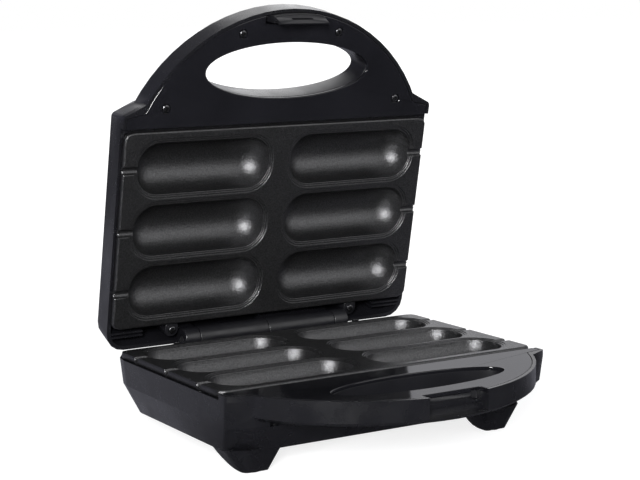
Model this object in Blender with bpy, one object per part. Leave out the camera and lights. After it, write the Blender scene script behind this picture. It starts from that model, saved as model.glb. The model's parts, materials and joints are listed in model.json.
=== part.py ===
"""Corn dog maker with six cavities: a base and a lid that close like a book on a rear hinge.

The pieces are drawn with the lid closed. The parting plane between the two plates is z = 0, +Y points
from the handle to the hinge, and a depth is a distance from the parting plane into the base or the lid.
Empties then carry the pieces: the base stands on its pads, and the lid hangs open on the hinge axis.
"""

from math import acos, atan2, cos, degrees, pi, radians, sin, sqrt, tan

import bmesh
import bpy
from mathutils import Vector

# Plates
PLATE_WIDTH = 0.216
PLATE_DEPTH = 0.124
PLATE_CORNER = 0.005
PLATE_GAP = 0.0004
PLATE_SHEET = 0.0022
SKIRT_WALL = 0.0024
CAVITY_ROWS = 3
CAVITY_DEPTH = 0.0155
CAVITY_GAP = 0.0070
CAVITY_EDGE_MARGIN = 0.0073
CAVITY_SIDE_MARGIN = 0.0101
CAVITY_MIDDLE_MARGIN = 0.0079
CAVITY_END_FLAT = 0.0068
LEDGE_WIDTH = 0.0027
LEDGE_DEPTH = 0.0006
CHANNEL_WIDTH = 0.0046
CHANNEL_DEPTH = 0.0024
EAR_RADIUS = 0.0045
EAR_SHEET = 0.0016
EAR_TO_BARREL = 0.0015
POST_RADIUS = 0.0035
CAVITY_ANGLES = (24, 44, 62, 80)

# Housings
RIM_MARGIN = 0.0015
RIM_DEPTH = 0.0043
CREASE_DEPTH = 0.0195
FITTINGS_ROOM = 0.0164
CREASE_INSET = 0.0008
BASE_FLOOR_INSET = 0.0078
LID_FLOOR_INSET = 0.0093
SHOULDER_REACH = 0.0077
SHOULDER_CORNER = 0.003
SHOULDER_SLANT = radians(26)
FRONT_REACH = 0.0088
CREASE_FRONT_INSET = 0.002
FLOOR_SHOULDER_INSET = 0.0167
FLOOR_FRONT_INSET = 0.0135
REAR_REACH = 0.0046
CREASE_REAR_INSET = 0.0025
BASE_FLOOR_REAR_INSET = 0.025
LID_FLOOR_REAR_INSET = 0.0075
BASE_REAR_CORNER = 0.025
BASE_FLOOR_CORNER = 0.006
LID_REAR_CORNER = 0.012
LID_FLOOR_CORNER = 0.008
WALL = 0.0026
BULKHEAD = 0.0026
PLATE_SEAT = 0.0011
STEP_REACH = 0.0023
RIB_WALL = 0.0012
RIB_LENGTH = 0.019
RIB_SIDE_MARGIN = 0.0055
RIB_FRONT_REACH = 0.004
RIB_PITCH = 0.0025
RIB_DEPTH = 0.012

# Handle halves
BOW_MARGIN = 0.0005
BOW_CENTRE_INSET = 0.0442
BASE_HANDLE_DEPTH = 0.016
BASE_HANDLE_EDGE = 0.003
BASE_HANDLE_EDGE_REACH = 0.010
LID_HANDLE_DEPTH = 0.018
LID_HANDLE_EDGE = 0.003
LID_HANDLE_EDGE_REACH = 0.003
HANDLE_WALL = 0.002
HANDLE_FLOOR = 0.0025
BASE_FACE = 0.001
LID_FACE = 0.0007
COVER_SHEET = 0.0022
COVER_LIP_WALL = 0.0016
COVER_LIP_DEPTH = 0.0065
LENS_END_MARGIN = 0.0515
LENS_FRONT_MARGIN = 0.0116
LENS_REAR_MARGIN = 0.0153
LENS_LEDGE = 0.0008
LENS_WALL = 0.0018

# Cover screws
SCREW_SIDE_MARGIN = 0.0275
SCREW_SHOULDER_REACH = 0.0058
SCREW_TO_NOTCH = 0.0145
SCREW_BOW_INSET = 0.0092
SCREW_HEAD = 0.0025
SCREW_HEAD_HEIGHT = 0.0013
SCREW_SHANK = 0.0013
SCREW_CROWN_SHARE = 0.8
SCREW_LENGTH = 0.0085
SCREW_TIP_ROOM = 0.0009
SCREW_RECESS = 0.0030
SCREW_RECESS_DEPTH = 0.0016
SCREW_POST = 0.0038
BASE_COUNTERBORE_DEPTH = 0.004

# Latch
LATCH_WIDTH = 0.038
LATCH_RUN = 0.0008
LATCH_THICK = 0.0056
LATCH_TOP = 0.0105
LATCH_REACH = 0.0126
LATCH_PAD_TOP = 0.003
LATCH_PAD_SIDE = 0.0024
LATCH_PAD_EDGE = 0.0022
LATCH_EDGE_SHARES = (0, 0.3, 1)
TOOTH_LENGTH = 0.0013
TOOTH_TIP = 0.0005
CATCH_TOP = 0.0065
CATCH_HEIGHT = 0.0022
CATCH_LENGTH = 0.0016
GROOVE_RUN = 0.0013
NOTCH_FLOOR = 0.0132
POCKET_WALL = 0.003
PIN_DEPTH = 0.0055
PIN_RADIUS = 0.00125
PIN_SEAT = 0.002
LATCH_SWING = radians(5)

# Hinge
HINGE_REACH = 0.0104
HINGE_DROP = 0.0002
BARREL_RADIUS = 0.0065
BARREL_INSET = 0.048
KNUCKLE_LENGTH = 0.0105
ROD_RADIUS = 0.0019
WEB_FRONT = 0.0062
WEB_DEPTH = 0.014
LID_OPENING = radians(78.6)

# Feet
FOOT_HEIGHT = 0.0135
FOOT_SIDE_MARGIN = 0.0178
FOOT_WIDTH = 0.0161
FOOT_TOP_WIDENING = 0.0059
FOOT_FRONT_INSET = 0.005
FOOT_LENGTH = 0.010
FOOT_TOP_LENGTHENING = 0.012
FOOT_CORNER = 0.002
FOOT_OUTER_CORNER = 0.004
FOOT_TOP_OUTER_CORNER = 0.012
FOOT_LEVEL_SHARES = (0, 0.35, 0.6, 0.8, 0.93, 1)
REAR_FOOT_SIDE_MARGIN = 0.0495
REAR_FOOT_TOP_X = 0.026
REAR_FOOT_TOP_Y = 0.020
REAR_FOOT_BOTTOM_X = 0.016
REAR_FOOT_BOTTOM_Y = 0.014
PAD_RADIUS = 0.0040
PAD_HEIGHT = 0.0016
PAD_PROUD = 0.0006

# Heaters and shields
HEATER_RADIUS = 0.00325
HEATER_RISE = 0.0035
HEATER_END_MARGIN = 0.009
HEATER_TAIL = 0.017
HEATER_PIN = 0.0014
HEATER_PIN_LENGTH = 0.005
CRADLE_LENGTH = 0.006
CRADLE_HALF = 0.005
SHIELD_DROP = 0.0041
SHIELD_SHEET = 0.0008
SHIELD_SIDE_MARGIN = 0.010
SHIELD_EDGE_MARGIN = 0.008
SHIELD_CORNER = 0.010
SHIELD_FLANGE = 0.004
SHIELD_SCREW_LENGTH = 0.008

# Small fittings
VENT_LENGTH = 0.036
VENT_WIDTH = 0.003
VENT_PITCH = 0.008
VENT_COUNT = 5
INLET_X = 0.030
INLET_DEPTH = 0.0145
INLET_RADIUS = 0.0055
INLET_BORE = 0.0035
INLET_FLANGE = 0.0075
INLET_FLANGE_SHEET = 0.0018
INLET_INSIDE = 0.008
THERMOSTAT_RADIUS = 0.0052
THERMOSTAT_HEIGHT = 0.009
FUSE_EDGE_MARGIN = 0.015
FUSE_RADIUS = 0.0024
FUSE_LENGTH = 0.013
BLOCK_X = 0.020
BLOCK_Y = 0.009
BLOCK_HEIGHT = 0.009
BLOCK_SIDE_MARGIN = 0.048
BLOCK_PLACE_Y = 0.020
LAMP_X = 0.012
LAMP_EDGE_MARGIN = 0.032
LENS_RADIUS = 0.0042
LENS_FLANGE = 0.0056
LENS_FLANGE_SHEET = 0.001
LENS_TALL = 0.0045
NEON_RADIUS = 0.0026
NEON_LENGTH = 0.008

# Running and seating clearances
SEAT = 0.0003
RUN = 0.0005
OVERRUN = 0.004

# Fineness
ROUND_STEPS = 12
SCREW_STEPS = 8
CORNER_STEPS = 4
CAVITY_STEPS = 3
ARC_STEPS = 24
LENS_STEPS = 28
BARREL_STEPS = 20
EDGE_STEPS = 2

# Worked out from the sizes above
PLATE_FACE = PLATE_GAP / 2
PLATE_SIDE = PLATE_WIDTH / 2
PLATE_EDGE = PLATE_DEPTH / 2
POST_Y = PLATE_EDGE / 2
SKIRT_DEPTH = RIM_DEPTH - SEAT

CAVITY_LENGTH = PLATE_SIDE - CAVITY_SIDE_MARGIN - CAVITY_MIDDLE_MARGIN
CAVITY_COLUMN = CAVITY_MIDDLE_MARGIN + CAVITY_LENGTH / 2
CAVITY_ROOM = PLATE_DEPTH - CAVITY_EDGE_MARGIN * 2 - CAVITY_GAP * (CAVITY_ROWS - 1)
CAVITY_WIDTH = CAVITY_ROOM / CAVITY_ROWS
CAVITY_PITCH = CAVITY_WIDTH + CAVITY_GAP
CAVITY_CORNER = (CAVITY_WIDTH - CAVITY_END_FLAT) / 2

HINGE_Y = PLATE_EDGE + HINGE_REACH
BARREL_END = PLATE_SIDE - BARREL_INSET
BARREL_STEP = BARREL_END - KNUCKLE_LENGTH
EAR_X = BARREL_END + EAR_TO_BARREL + EAR_RADIUS
EAR_Y = PLATE_EDGE + EAR_RADIUS

HEATER_DEPTH = CAVITY_DEPTH - HEATER_RISE
HEATER_LEG_Y = CAVITY_PITCH / 2
HEATER_START_X = PLATE_SIDE - HEATER_END_MARGIN
HEATER_BEND_X = HEATER_START_X - HEATER_TAIL
CRADLE_X = CAVITY_COLUMN
SHIELD_DEPTH = CAVITY_DEPTH + SHIELD_DROP
SHIELD_WIDTH = PLATE_WIDTH - SHIELD_SIDE_MARGIN * 2
SHIELD_LENGTH = PLATE_DEPTH - SHIELD_EDGE_MARGIN * 2

HALF_HOUSING = PLATE_SIDE + RIM_MARGIN
HOUSING_DEPTH = SHIELD_DEPTH + FITTINGS_ROOM
STAND_HEIGHT = HOUSING_DEPTH + FOOT_HEIGHT
HOLLOW_FRONT = PLATE_EDGE - PLATE_SEAT
BULKHEAD_FRONT = HOLLOW_FRONT + BULKHEAD
SHOULDER_Y = PLATE_EDGE + SHOULDER_REACH
SHOULDER_FRONT = SHOULDER_Y + FRONT_REACH
CREASE_SHOULDER_Y = SHOULDER_Y - CREASE_FRONT_INSET
CREASE_FRONT = SHOULDER_FRONT - CREASE_FRONT_INSET
FLOOR_SHOULDER_Y = SHOULDER_Y - FLOOR_SHOULDER_INSET
FLOOR_FRONT = SHOULDER_FRONT - FLOOR_FRONT_INSET
REAR = HINGE_Y + REAR_REACH
CREASE_REAR = REAR - CREASE_REAR_INSET
BASE_FLOOR_REAR = REAR - BASE_FLOOR_REAR_INSET
LID_FLOOR_REAR = REAR - LID_FLOOR_REAR_INSET
STEP_FRONT = PLATE_EDGE + STEP_REACH
RIB_END = HALF_HOUSING - RIB_SIDE_MARGIN
RIB_START = RIB_END - RIB_LENGTH
RIB_FRONT = PLATE_EDGE + RIB_FRONT_REACH
RIB_ROWS_Y = (RIB_FRONT, RIB_FRONT + RIB_PITCH)

HANDLE_RADIUS = HALF_HOUSING - BOW_MARGIN
HANDLE_CENTRE = SHOULDER_Y - BOW_CENTRE_INSET
LATCH_RADIUS = HANDLE_RADIUS - HANDLE_WALL - LATCH_RUN
LATCH_OUTER_Y = HANDLE_CENTRE + LATCH_RADIUS
COVER_INSET = HANDLE_WALL + SEAT
COVER_REAR = BULKHEAD_FRONT + RUN
LATCH_INNER_Y = LATCH_OUTER_Y - LATCH_THICK
NOTCH_BACK = LATCH_INNER_Y - LATCH_RUN
NOTCH_HALF = LATCH_WIDTH / 2 + RUN
PIN_Y = LATCH_OUTER_Y - LATCH_THICK / 2
LENS_HALF_X = HANDLE_RADIUS - LENS_END_MARGIN
LENS_FRONT = NOTCH_BACK - LENS_FRONT_MARGIN
LENS_HALF_Y = (LENS_FRONT - COVER_REAR - LENS_REAR_MARGIN) / 2
LENS_Y = LENS_FRONT - LENS_HALF_Y
SCREW_OUTER_X = HALF_HOUSING - SCREW_SIDE_MARGIN
SCREW_OUTER_Y = SHOULDER_Y + SCREW_SHOULDER_REACH
BASE_SCREW_ROOM = BASE_HANDLE_DEPTH - BASE_COUNTERBORE_DEPTH - BASE_FACE - COVER_SHEET
BASE_SCREW_LENGTH = BASE_SCREW_ROOM + SEAT - SCREW_TIP_ROOM
SCREW_INNER_X = NOTCH_HALF + SCREW_TO_NOTCH
SCREW_INNER_Y = HANDLE_CENTRE + sqrt((HANDLE_RADIUS - SCREW_BOW_INSET) ** 2 - SCREW_INNER_X**2)

FOOT_OUTER_X = HALF_HOUSING - FOOT_SIDE_MARGIN
FOOT_INNER_X = FOOT_OUTER_X - FOOT_WIDTH
FOOT_TOP_INNER_X = FOOT_INNER_X - FOOT_TOP_WIDENING
FOOT_FRONT_Y = FLOOR_FRONT - FOOT_FRONT_INSET
FOOT_REAR_Y = FOOT_FRONT_Y - FOOT_LENGTH
FOOT_TOP_REAR_Y = FOOT_REAR_Y - FOOT_TOP_LENGTHENING
REAR_FOOT_X = HALF_HOUSING - REAR_FOOT_SIDE_MARGIN
REAR_FOOT_Y = BASE_FLOOR_REAR - REAR_FOOT_TOP_Y / 2

FUSE_Y = PLATE_EDGE - FUSE_EDGE_MARGIN
BLOCK_PLACE_X = PLATE_SIDE - BLOCK_SIDE_MARGIN
LAMP_Y = PLATE_EDGE - LAMP_EDGE_MARGIN
LAMP_PLACES = (("power", -LAMP_X), ("ready", LAMP_X))

BASE = {
    "name": "base",
    "sign": -1,
    "face": BASE_FACE,
    "rear_corner": BASE_REAR_CORNER,
    "floor_inset": BASE_FLOOR_INSET,
    "floor_rear": BASE_FLOOR_REAR,
    "floor_corner": BASE_FLOOR_CORNER,
    "handle_depth": BASE_HANDLE_DEPTH,
    "edge": BASE_HANDLE_EDGE,
    "edge_reach": BASE_HANDLE_EDGE_REACH,
    "own_knuckles": ((-BARREL_STEP, 0), (BARREL_STEP, BARREL_END)),
    "other_knuckles": ((-BARREL_END, -BARREL_STEP), (0, BARREL_STEP)),
}
LID = {
    "name": "lid",
    "sign": 1,
    "face": LID_FACE,
    "rear_corner": LID_REAR_CORNER,
    "floor_inset": LID_FLOOR_INSET,
    "floor_rear": LID_FLOOR_REAR,
    "floor_corner": LID_FLOOR_CORNER,
    "handle_depth": LID_HANDLE_DEPTH,
    "edge": LID_HANDLE_EDGE,
    "edge_reach": LID_HANDLE_EDGE_REACH,
    "own_knuckles": BASE["other_knuckles"],
    "other_knuckles": BASE["own_knuckles"],
}


def clear_scene():
    for old in list(bpy.data.objects):
        bpy.data.objects.remove(old, do_unlink=True)


def material(name, colour, roughness, metallic=0.0):
    made = bpy.data.materials.new(name)
    made.use_nodes = True
    shader = made.node_tree.nodes["Principled BSDF"]
    shader.inputs["Base Color"].default_value = (*colour, 1)
    shader.inputs["Roughness"].default_value = roughness
    shader.inputs["Metallic"].default_value = metallic
    return made


def make_materials():
    return {
        "gloss_black": material("gloss_black", (0.012, 0.012, 0.014), 0.18),
        "non_stick": material("non_stick", (0.03, 0.03, 0.032), 0.38, 0.3),
        "steel": material("steel", (0.55, 0.55, 0.56), 0.35, 1.0),
        "zinc_sheet": material("zinc_sheet", (0.6, 0.61, 0.62), 0.45, 1.0),
        "rubber": material("rubber", (0.02, 0.02, 0.02), 0.8),
        "red_lens": material("red_lens", (0.5, 0.02, 0.02), 0.15),
        "green_lens": material("green_lens", (0.02, 0.35, 0.06), 0.15),
        "glass": material("glass", (0.85, 0.8, 0.75), 0.05),
        "ceramic": material("ceramic", (0.8, 0.78, 0.72), 0.6),
        "insulation": material("insulation", (0.85, 0.85, 0.82), 0.5),
    }


# Outlines: lists of (x, y) in plan


def between(start, end, share):
    return start + (end - start) * share


def arc(centre_x, centre_y, radius_x, radius_y, start, end, steps):
    """Points on an arc between two angles in degrees, both ends included."""
    angles = [radians(start + (end - start) * k / steps) for k in range(steps + 1)]
    return [(centre_x + radius_x * cos(a), centre_y + radius_y * sin(a)) for a in angles]


def rounded_outline(
    half_x, front, rear, front_corner, rear_corner, middle_x=0, steps=CORNER_STEPS
):
    """A rectangle from y = front to y = rear with round corners."""
    corners = (
        (1, front + front_corner, front_corner, -90),
        (1, rear - rear_corner, rear_corner, 0),
        (-1, rear - rear_corner, rear_corner, 90),
        (-1, front + front_corner, front_corner, 180),
    )
    points = []
    for side, centre_y, radius, start in corners:
        centre_x = middle_x + side * (half_x - radius)
        points += arc(centre_x, centre_y, radius, radius, start, start + 90, steps)
    return points


def shoulder_points(half_x, shoulder, corner):
    """A small round from the side wall into the slanted shoulder, on the right, rear point first."""
    turn = degrees(SHOULDER_SLANT) - 90
    return arc(half_x - corner, -shoulder, corner, corner, 0, turn, CORNER_STEPS)


def tub_outline(half_x, shoulder, front, corner, rear, rear_corner):
    """The tub's plan: round rear corners, straight sides, slanted shoulders and a straight front."""
    right = arc(half_x - rear_corner, rear - rear_corner, rear_corner, rear_corner, 90, 0, CORNER_STEPS)
    right += shoulder_points(half_x, min(shoulder, front - corner), corner)
    end_x, end_y = right[-1]
    right.append((end_x - (front + end_y) / tan(SHOULDER_SLANT), -front))
    left = [(-x, y) for x, y in reversed(right)]
    return right + left


def ellipse(half_x, half_y, centre_y):
    return arc(0, centre_y, half_x, half_y, 0, 360 - 360 / LENS_STEPS, LENS_STEPS - 1)


def handle_outline(inset, rear):
    """The handle's plan, drawn inside its outer edge by inset: sides, slanted shoulders and the bow."""
    bow = HANDLE_RADIUS - inset
    right = [(HALF_HOUSING - inset, rear)]
    right += shoulder_points(HALF_HOUSING - inset, SHOULDER_Y, SHOULDER_CORNER - inset)
    end_x, end_y = right[-1]
    end_y += HANDLE_CENTRE
    along = end_x * cos(SHOULDER_SLANT) - end_y * sin(SHOULDER_SLANT)
    beyond = end_x**2 + end_y**2 - bow**2
    travel = along - sqrt(along**2 - beyond)
    meet_x = end_x - travel * cos(SHOULDER_SLANT)
    meet_y = end_y - travel * sin(SHOULDER_SLANT)
    start = degrees(atan2(meet_y, meet_x))
    middle = arc(0, -HANDLE_CENTRE, bow, bow, start, -180 - start, ARC_STEPS)
    left = [(-x, y) for x, y in reversed(right)]
    return right + middle + left


def bow_outline(rear):
    """The bow alone, from shoulder to shoulder, closed inside the tub at y = rear."""
    whole = handle_outline(0, rear)
    skipped = CORNER_STEPS + 2
    kept = whole[skipped:-skipped]
    first, last = kept[0], kept[-1]
    return [(first[0], rear)] + kept + [(last[0], rear)]


def bow_segment(radius, half_x):
    """An arc of the bow between x = half_x and x = -half_x."""
    spread = degrees(acos(half_x / radius))
    return arc(0, -HANDLE_CENTRE, radius, radius, -spread, spread - 180, ARC_STEPS // 3)


# Solids: every builder adds closed shells to a bmesh


def add_loft(bm, rings):
    """Rings of equally many (x, y, z) points, joined in order and capped at both ends."""
    layers = [[bm.verts.new(point) for point in ring] for ring in rings]
    count = len(layers[0])
    made = [bm.faces.new(layers[0]), bm.faces.new(layers[-1])]
    for lower, upper in zip(layers, layers[1:]):
        for k in range(count):
            after = (k + 1) % count
            made.append(bm.faces.new((lower[k], lower[after], upper[after], upper[k])))
    bmesh.ops.recalc_face_normals(bm, faces=made)


def add_prism(bm, outline, start, end):
    add_loft(bm, [[(x, y, z) for x, y in outline] for z in (start, end)])


def add_box(bm, low, high):
    (x0, y0, z0), (x1, y1, z1) = low, high
    add_prism(bm, [(x0, y0), (x1, y0), (x1, y1), (x0, y1)], z0, z1)


def add_turned(bm, origin, direction, profile, steps=ROUND_STEPS):
    """A turned solid: (distance along the axis, radius) pairs from one end to the other."""
    along = Vector(direction).normalized()
    across = along.orthogonal().normalized()
    third = along.cross(across)
    rings = []
    for distance, radius in profile:
        centre = Vector(origin) + along * distance
        angles = [2 * pi * (k + 0.5) / steps for k in range(steps)]
        rings.append([centre + (across * cos(a) + third * sin(a)) * radius for a in angles])
    add_loft(bm, rings)


def add_x_prism(bm, outline, start, end):
    """An outline of (y, z) points extruded along x."""
    add_loft(bm, [[(x, y, z) for y, z in outline] for x in (start, end)])


def new_object(name, bm, parent, location, finish=None):
    mesh = bpy.data.meshes.new(name)
    bm.to_mesh(mesh)
    bm.free()
    made = bpy.data.objects.new(name, mesh)
    bpy.context.scene.collection.objects.link(made)
    made.parent = parent["frame"]
    made.location = location
    if finish is None:
        made.hide_render = True
        made.display_type = "WIRE"
    else:
        mesh.materials.append(finish)
        mesh.shade_smooth()
        mesh.set_sharp_from_angle(angle=radians(32))
    return made


class Builder:
    """Makes the pieces and cutters of one body, all drawn in the closed position."""

    def __init__(self, frame, pivot):
        self.carrier = {"frame": frame}
        self.offset = -Vector(pivot)

    def piece(self, name, finish, *adders):
        return new_object(name, self.shell(adders), self.carrier, self.offset, finish)

    def cutter(self, name, *adders):
        return new_object(name, self.shell(adders), self.carrier, self.offset)

    def shell(self, adders):
        bm = bmesh.new()
        for add in adders:
            add(bm)
        return bm


def combine(target, tool, operation):
    modifier = target.modifiers.new(tool.name, "BOOLEAN")
    modifier.operation = operation
    modifier.object = tool
    modifier.solver = "EXACT"


def cut(target, *tools):
    for tool in tools:
        combine(target, tool, "DIFFERENCE")


def join(target, *tools):
    for tool in tools:
        combine(target, tool, "UNION")


# Places that several pieces share


def cover_screw_places():
    places = []
    for side in (-1, 1):
        places.append((side * SCREW_OUTER_X, -SCREW_OUTER_Y))
        places.append((side * SCREW_INNER_X, -SCREW_INNER_Y))
    return places


def cavity_places():
    middle = (CAVITY_ROWS - 1) / 2
    rows = [(k - middle) * CAVITY_PITCH for k in range(CAVITY_ROWS)]
    return [(side * CAVITY_COLUMN, y) for side in (-1, 1) for y in rows]


def foot_places():
    """(name, centre x, centre y) of each pad."""
    front_x = (FOOT_OUTER_X + FOOT_INNER_X) / 2
    front_y = -(FOOT_FRONT_Y + FOOT_REAR_Y) / 2
    places = []
    for word, side in (("left", -1), ("right", 1)):
        places.append(("front_" + word, side * front_x, front_y))
        places.append(("rear_" + word, side * REAR_FOOT_X, REAR_FOOT_Y))
    return places


# Plates


def plate_rings(half, x, y, swell, levels):
    """Rings of one cavity: each level is (depth, inset) and swell widens all of them."""
    rings = []
    for depth, inset in levels:
        half_y = CAVITY_WIDTH / 2 + swell - inset
        half_x = CAVITY_LENGTH / 2 + swell - inset
        corner = CAVITY_CORNER * half_y / (CAVITY_WIDTH / 2)
        outline = rounded_outline(
            half_x, y - half_y, y + half_y, corner, corner, x, CAVITY_STEPS
        )
        rings.append([(px, py, half["sign"] * depth) for px, py in outline])
    return rings


def cavity_levels(swell):
    """From the brim down: a quarter ellipse from the wall to the floor of the cavity."""
    reach = CAVITY_WIDTH / 2 + swell
    drop = CAVITY_DEPTH + swell
    levels = [(PLATE_FACE, 0)]
    for angle in CAVITY_ANGLES:
        a = radians(angle)
        levels.append((PLATE_FACE + drop * sin(a), reach * (1 - cos(a))))
    return levels


def add_cavities(half):
    """The six hollows, each with its ledge band at the brim."""

    def add(bm):
        brim = LEDGE_DEPTH + PLATE_FACE
        for x, y in cavity_places():
            band = [(-OVERRUN, -LEDGE_WIDTH), (brim, -LEDGE_WIDTH), (brim, 0)]
            levels = band + cavity_levels(0)[1:]
            add_loft(bm, plate_rings(half, x, y, 0, levels))

    return add


def add_bulges(half):
    """The outsides of the cavities, a wall thicker all round, as they hang under the plate."""

    def add(bm):
        for x, y in cavity_places():
            add_loft(bm, plate_rings(half, x, y, PLATE_SHEET, cavity_levels(PLATE_SHEET)))

    return add


def add_channels(half):
    """A U-shaped channel for the stick from the outer end of each cavity to the plate's edge."""

    def add(bm):
        radius = CHANNEL_WIDTH / 2
        bottom = PLATE_FACE + CHANNEL_DEPTH
        for x, y in cavity_places():
            side = 1 if x > 0 else -1
            start = side * (CAVITY_COLUMN + CAVITY_LENGTH / 2 - LEDGE_WIDTH)
            end = side * (PLATE_SIDE + OVERRUN)
            flanks = arc(y, bottom - radius, radius, radius, 180, 0, CORNER_STEPS)
            outline = [(y + radius, -OVERRUN), (y - radius, -OVERRUN)] + flanks
            section = [(py, half["sign"] * depth) for py, depth in outline]
            add_x_prism(bm, section, start, end)

    return add


def add_plate_underside(half):
    """Ears for the plate screws, posts for the shield screws and cradles for the heater."""

    def add(bm):
        sign = half["sign"]
        ear_top = sign * (SKIRT_DEPTH - EAR_SHEET)
        for side in (-1, 1):
            x = side * EAR_X
            rear = EAR_Y + EAR_RADIUS
            front = PLATE_EDGE - SKIRT_WALL / 2
            outline = rounded_outline(EAR_RADIUS, front, rear, RIB_WALL, EAR_RADIUS - RIB_WALL, x)
            add_prism(bm, outline, ear_top, sign * SKIRT_DEPTH)
            top = (0, side * POST_Y, sign * (PLATE_FACE + PLATE_SHEET / 2))
            reach = SHIELD_DEPTH - SEAT - PLATE_FACE - PLATE_SHEET / 2
            add_turned(bm, top, (0, 0, sign), [(0, POST_RADIUS), (reach, POST_RADIUS)])

    return add


def add_cradles(half):
    def add(bm):
        sign = half["sign"]
        for x in (-CRADLE_X, CRADLE_X):
            for y in (-HEATER_LEG_Y, HEATER_LEG_Y):
                top = sign * (PLATE_FACE + PLATE_SHEET / 2)
                end = sign * HEATER_DEPTH
                low = (x - CRADLE_LENGTH / 2, y - CRADLE_HALF, min(top, end))
                high = (x + CRADLE_LENGTH / 2, y + CRADLE_HALF, max(top, end))
                add_box(bm, low, high)

    return add


def add_cradle_grooves(half):
    def add(bm):
        radius = HEATER_RADIUS + SEAT
        length = 2 * CRADLE_LENGTH
        for x in (-CRADLE_X, CRADLE_X):
            for y in (-HEATER_LEG_Y, HEATER_LEG_Y):
                start = (x - CRADLE_LENGTH, y, half["sign"] * HEATER_DEPTH)
                add_turned(bm, start, (1, 0, 0), [(0, radius), (length, radius)])

    return add


def add_plate_holes(half):
    def add(bm):
        sign = half["sign"]
        bore = SCREW_SHANK + SEAT
        for side in (-1, 1):
            ear = (side * EAR_X, EAR_Y, 0)
            add_turned(bm, ear, (0, 0, sign), [(0, bore), (RIM_DEPTH + OVERRUN, bore)])
            post = (0, side * POST_Y, sign * (SHIELD_DEPTH + OVERRUN))
            depth = SHIELD_SCREW_LENGTH + SEAT + OVERRUN
            add_turned(bm, post, (0, 0, -sign), [(0, bore), (depth, bore)])

    return add


def make_plate(builder, half, name, finish):
    sign = half["sign"]
    outline = rounded_outline(PLATE_SIDE, -PLATE_EDGE, PLATE_EDGE, PLATE_CORNER, PLATE_CORNER)
    inner = rounded_outline(
        PLATE_SIDE - SKIRT_WALL,
        -PLATE_EDGE + SKIRT_WALL,
        PLATE_EDGE - SKIRT_WALL,
        PLATE_CORNER - SKIRT_WALL,
        PLATE_CORNER - SKIRT_WALL,
    )
    plate = builder.piece(
        name, finish, lambda bm: add_prism(bm, outline, sign * PLATE_FACE, sign * SKIRT_DEPTH)
    )
    under = builder.cutter(
        name + "_under",
        lambda bm: add_prism(
            bm, inner, sign * (PLATE_FACE + PLATE_SHEET), sign * (SKIRT_DEPTH + OVERRUN)
        ),
    )
    cut(plate, under)
    join(plate, builder.cutter(name + "_bulges", add_bulges(half)))
    join(plate, builder.cutter(name + "_cradles", add_cradles(half)))
    join(plate, builder.cutter(name + "_fixings", add_plate_underside(half)))
    cut(
        plate,
        builder.cutter(name + "_cavities", add_cavities(half)),
        builder.cutter(name + "_channels", add_channels(half)),
        builder.cutter(name + "_grooves", add_cradle_grooves(half)),
        builder.cutter(name + "_holes", add_plate_holes(half)),
    )
    return plate


# Housings


def tub_rings(half, inset, front, bottom, top):
    """Plan rings of the tub from above the parting plane down to its floor."""
    upper = (0, SHOULDER_Y, SHOULDER_FRONT, REAR, half["rear_corner"])
    crease = (CREASE_INSET, CREASE_SHOULDER_Y, CREASE_FRONT, CREASE_REAR, half["rear_corner"])
    floor = (
        half["floor_inset"],
        FLOOR_SHOULDER_Y,
        FLOOR_FRONT,
        half["floor_rear"],
        half["floor_corner"],
    )
    levels = ((top, upper), (RIM_DEPTH, upper), (CREASE_DEPTH, crease), (HOUSING_DEPTH, floor))
    rings = []
    for depth, (narrower, shoulder, level_front, level_rear, rear_corner) in levels:
        outline = tub_outline(
            HALF_HOUSING - narrower - inset,
            shoulder,
            min(level_front - inset, front),
            SHOULDER_CORNER - inset,
            level_rear - inset,
            rear_corner - inset,
        )
        rings.append([(x, y, half["sign"] * min(depth, bottom)) for x, y in outline])
    return rings


def slab_rings(half):
    """The bow of the handle with its far edge rounded off."""
    edge = half["edge"]
    outline_rear = -BULKHEAD_FRONT
    rings = [[(x, y, -half["sign"] * OVERRUN / 2) for x, y in bow_outline(outline_rear)]]
    for step in range(EDGE_STEPS + 1):
        a = pi / 2 * step / EDGE_STEPS
        inset = half["edge_reach"] * (1 - cos(a))
        depth = half["handle_depth"] - edge * (1 - sin(a))
        share = 1 - inset / HANDLE_RADIUS
        ring = [
            (x * share, -HANDLE_CENTRE + (y + HANDLE_CENTRE) * share, half["sign"] * depth)
            for x, y in bow_outline(outline_rear)
        ]
        rings.append(ring)
    return rings


def make_tub_hollow(builder, half):
    """The chamber under the plate, less the bosses and ribs that stand in it."""
    name = half["name"]
    sign = half["sign"]
    floor = HOUSING_DEPTH - WALL
    hollow = builder.cutter(
        name + "_chamber",
        lambda bm: add_loft(bm, tub_rings(half, WALL, HOLLOW_FRONT, floor, -OVERRUN)),
    )

    def add_bosses(bm):
        for side in (-1, 1):
            reach = HOUSING_DEPTH - RIM_DEPTH
            start = (side * EAR_X, EAR_Y, sign * RIM_DEPTH)
            add_turned(bm, start, (0, 0, sign), [(0, EAR_RADIUS), (reach, EAR_RADIUS)])

    def add_ribs(bm):
        for y in RIB_ROWS_Y:
            for side in (-1, 1):
                xs = sorted((side * RIB_START, side * (RIB_END + OVERRUN)))
                zs = sorted((sign * RIM_DEPTH, sign * RIB_DEPTH))
                low = (xs[0], y - RIB_WALL / 2, zs[0])
                add_box(bm, low, (xs[1], y + RIB_WALL / 2, zs[1]))

    cut(hollow, builder.cutter(name + "_bosses", add_bosses))
    if half is LID:
        cut(hollow, builder.cutter(name + "_ribs", add_ribs))
    return hollow


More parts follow.
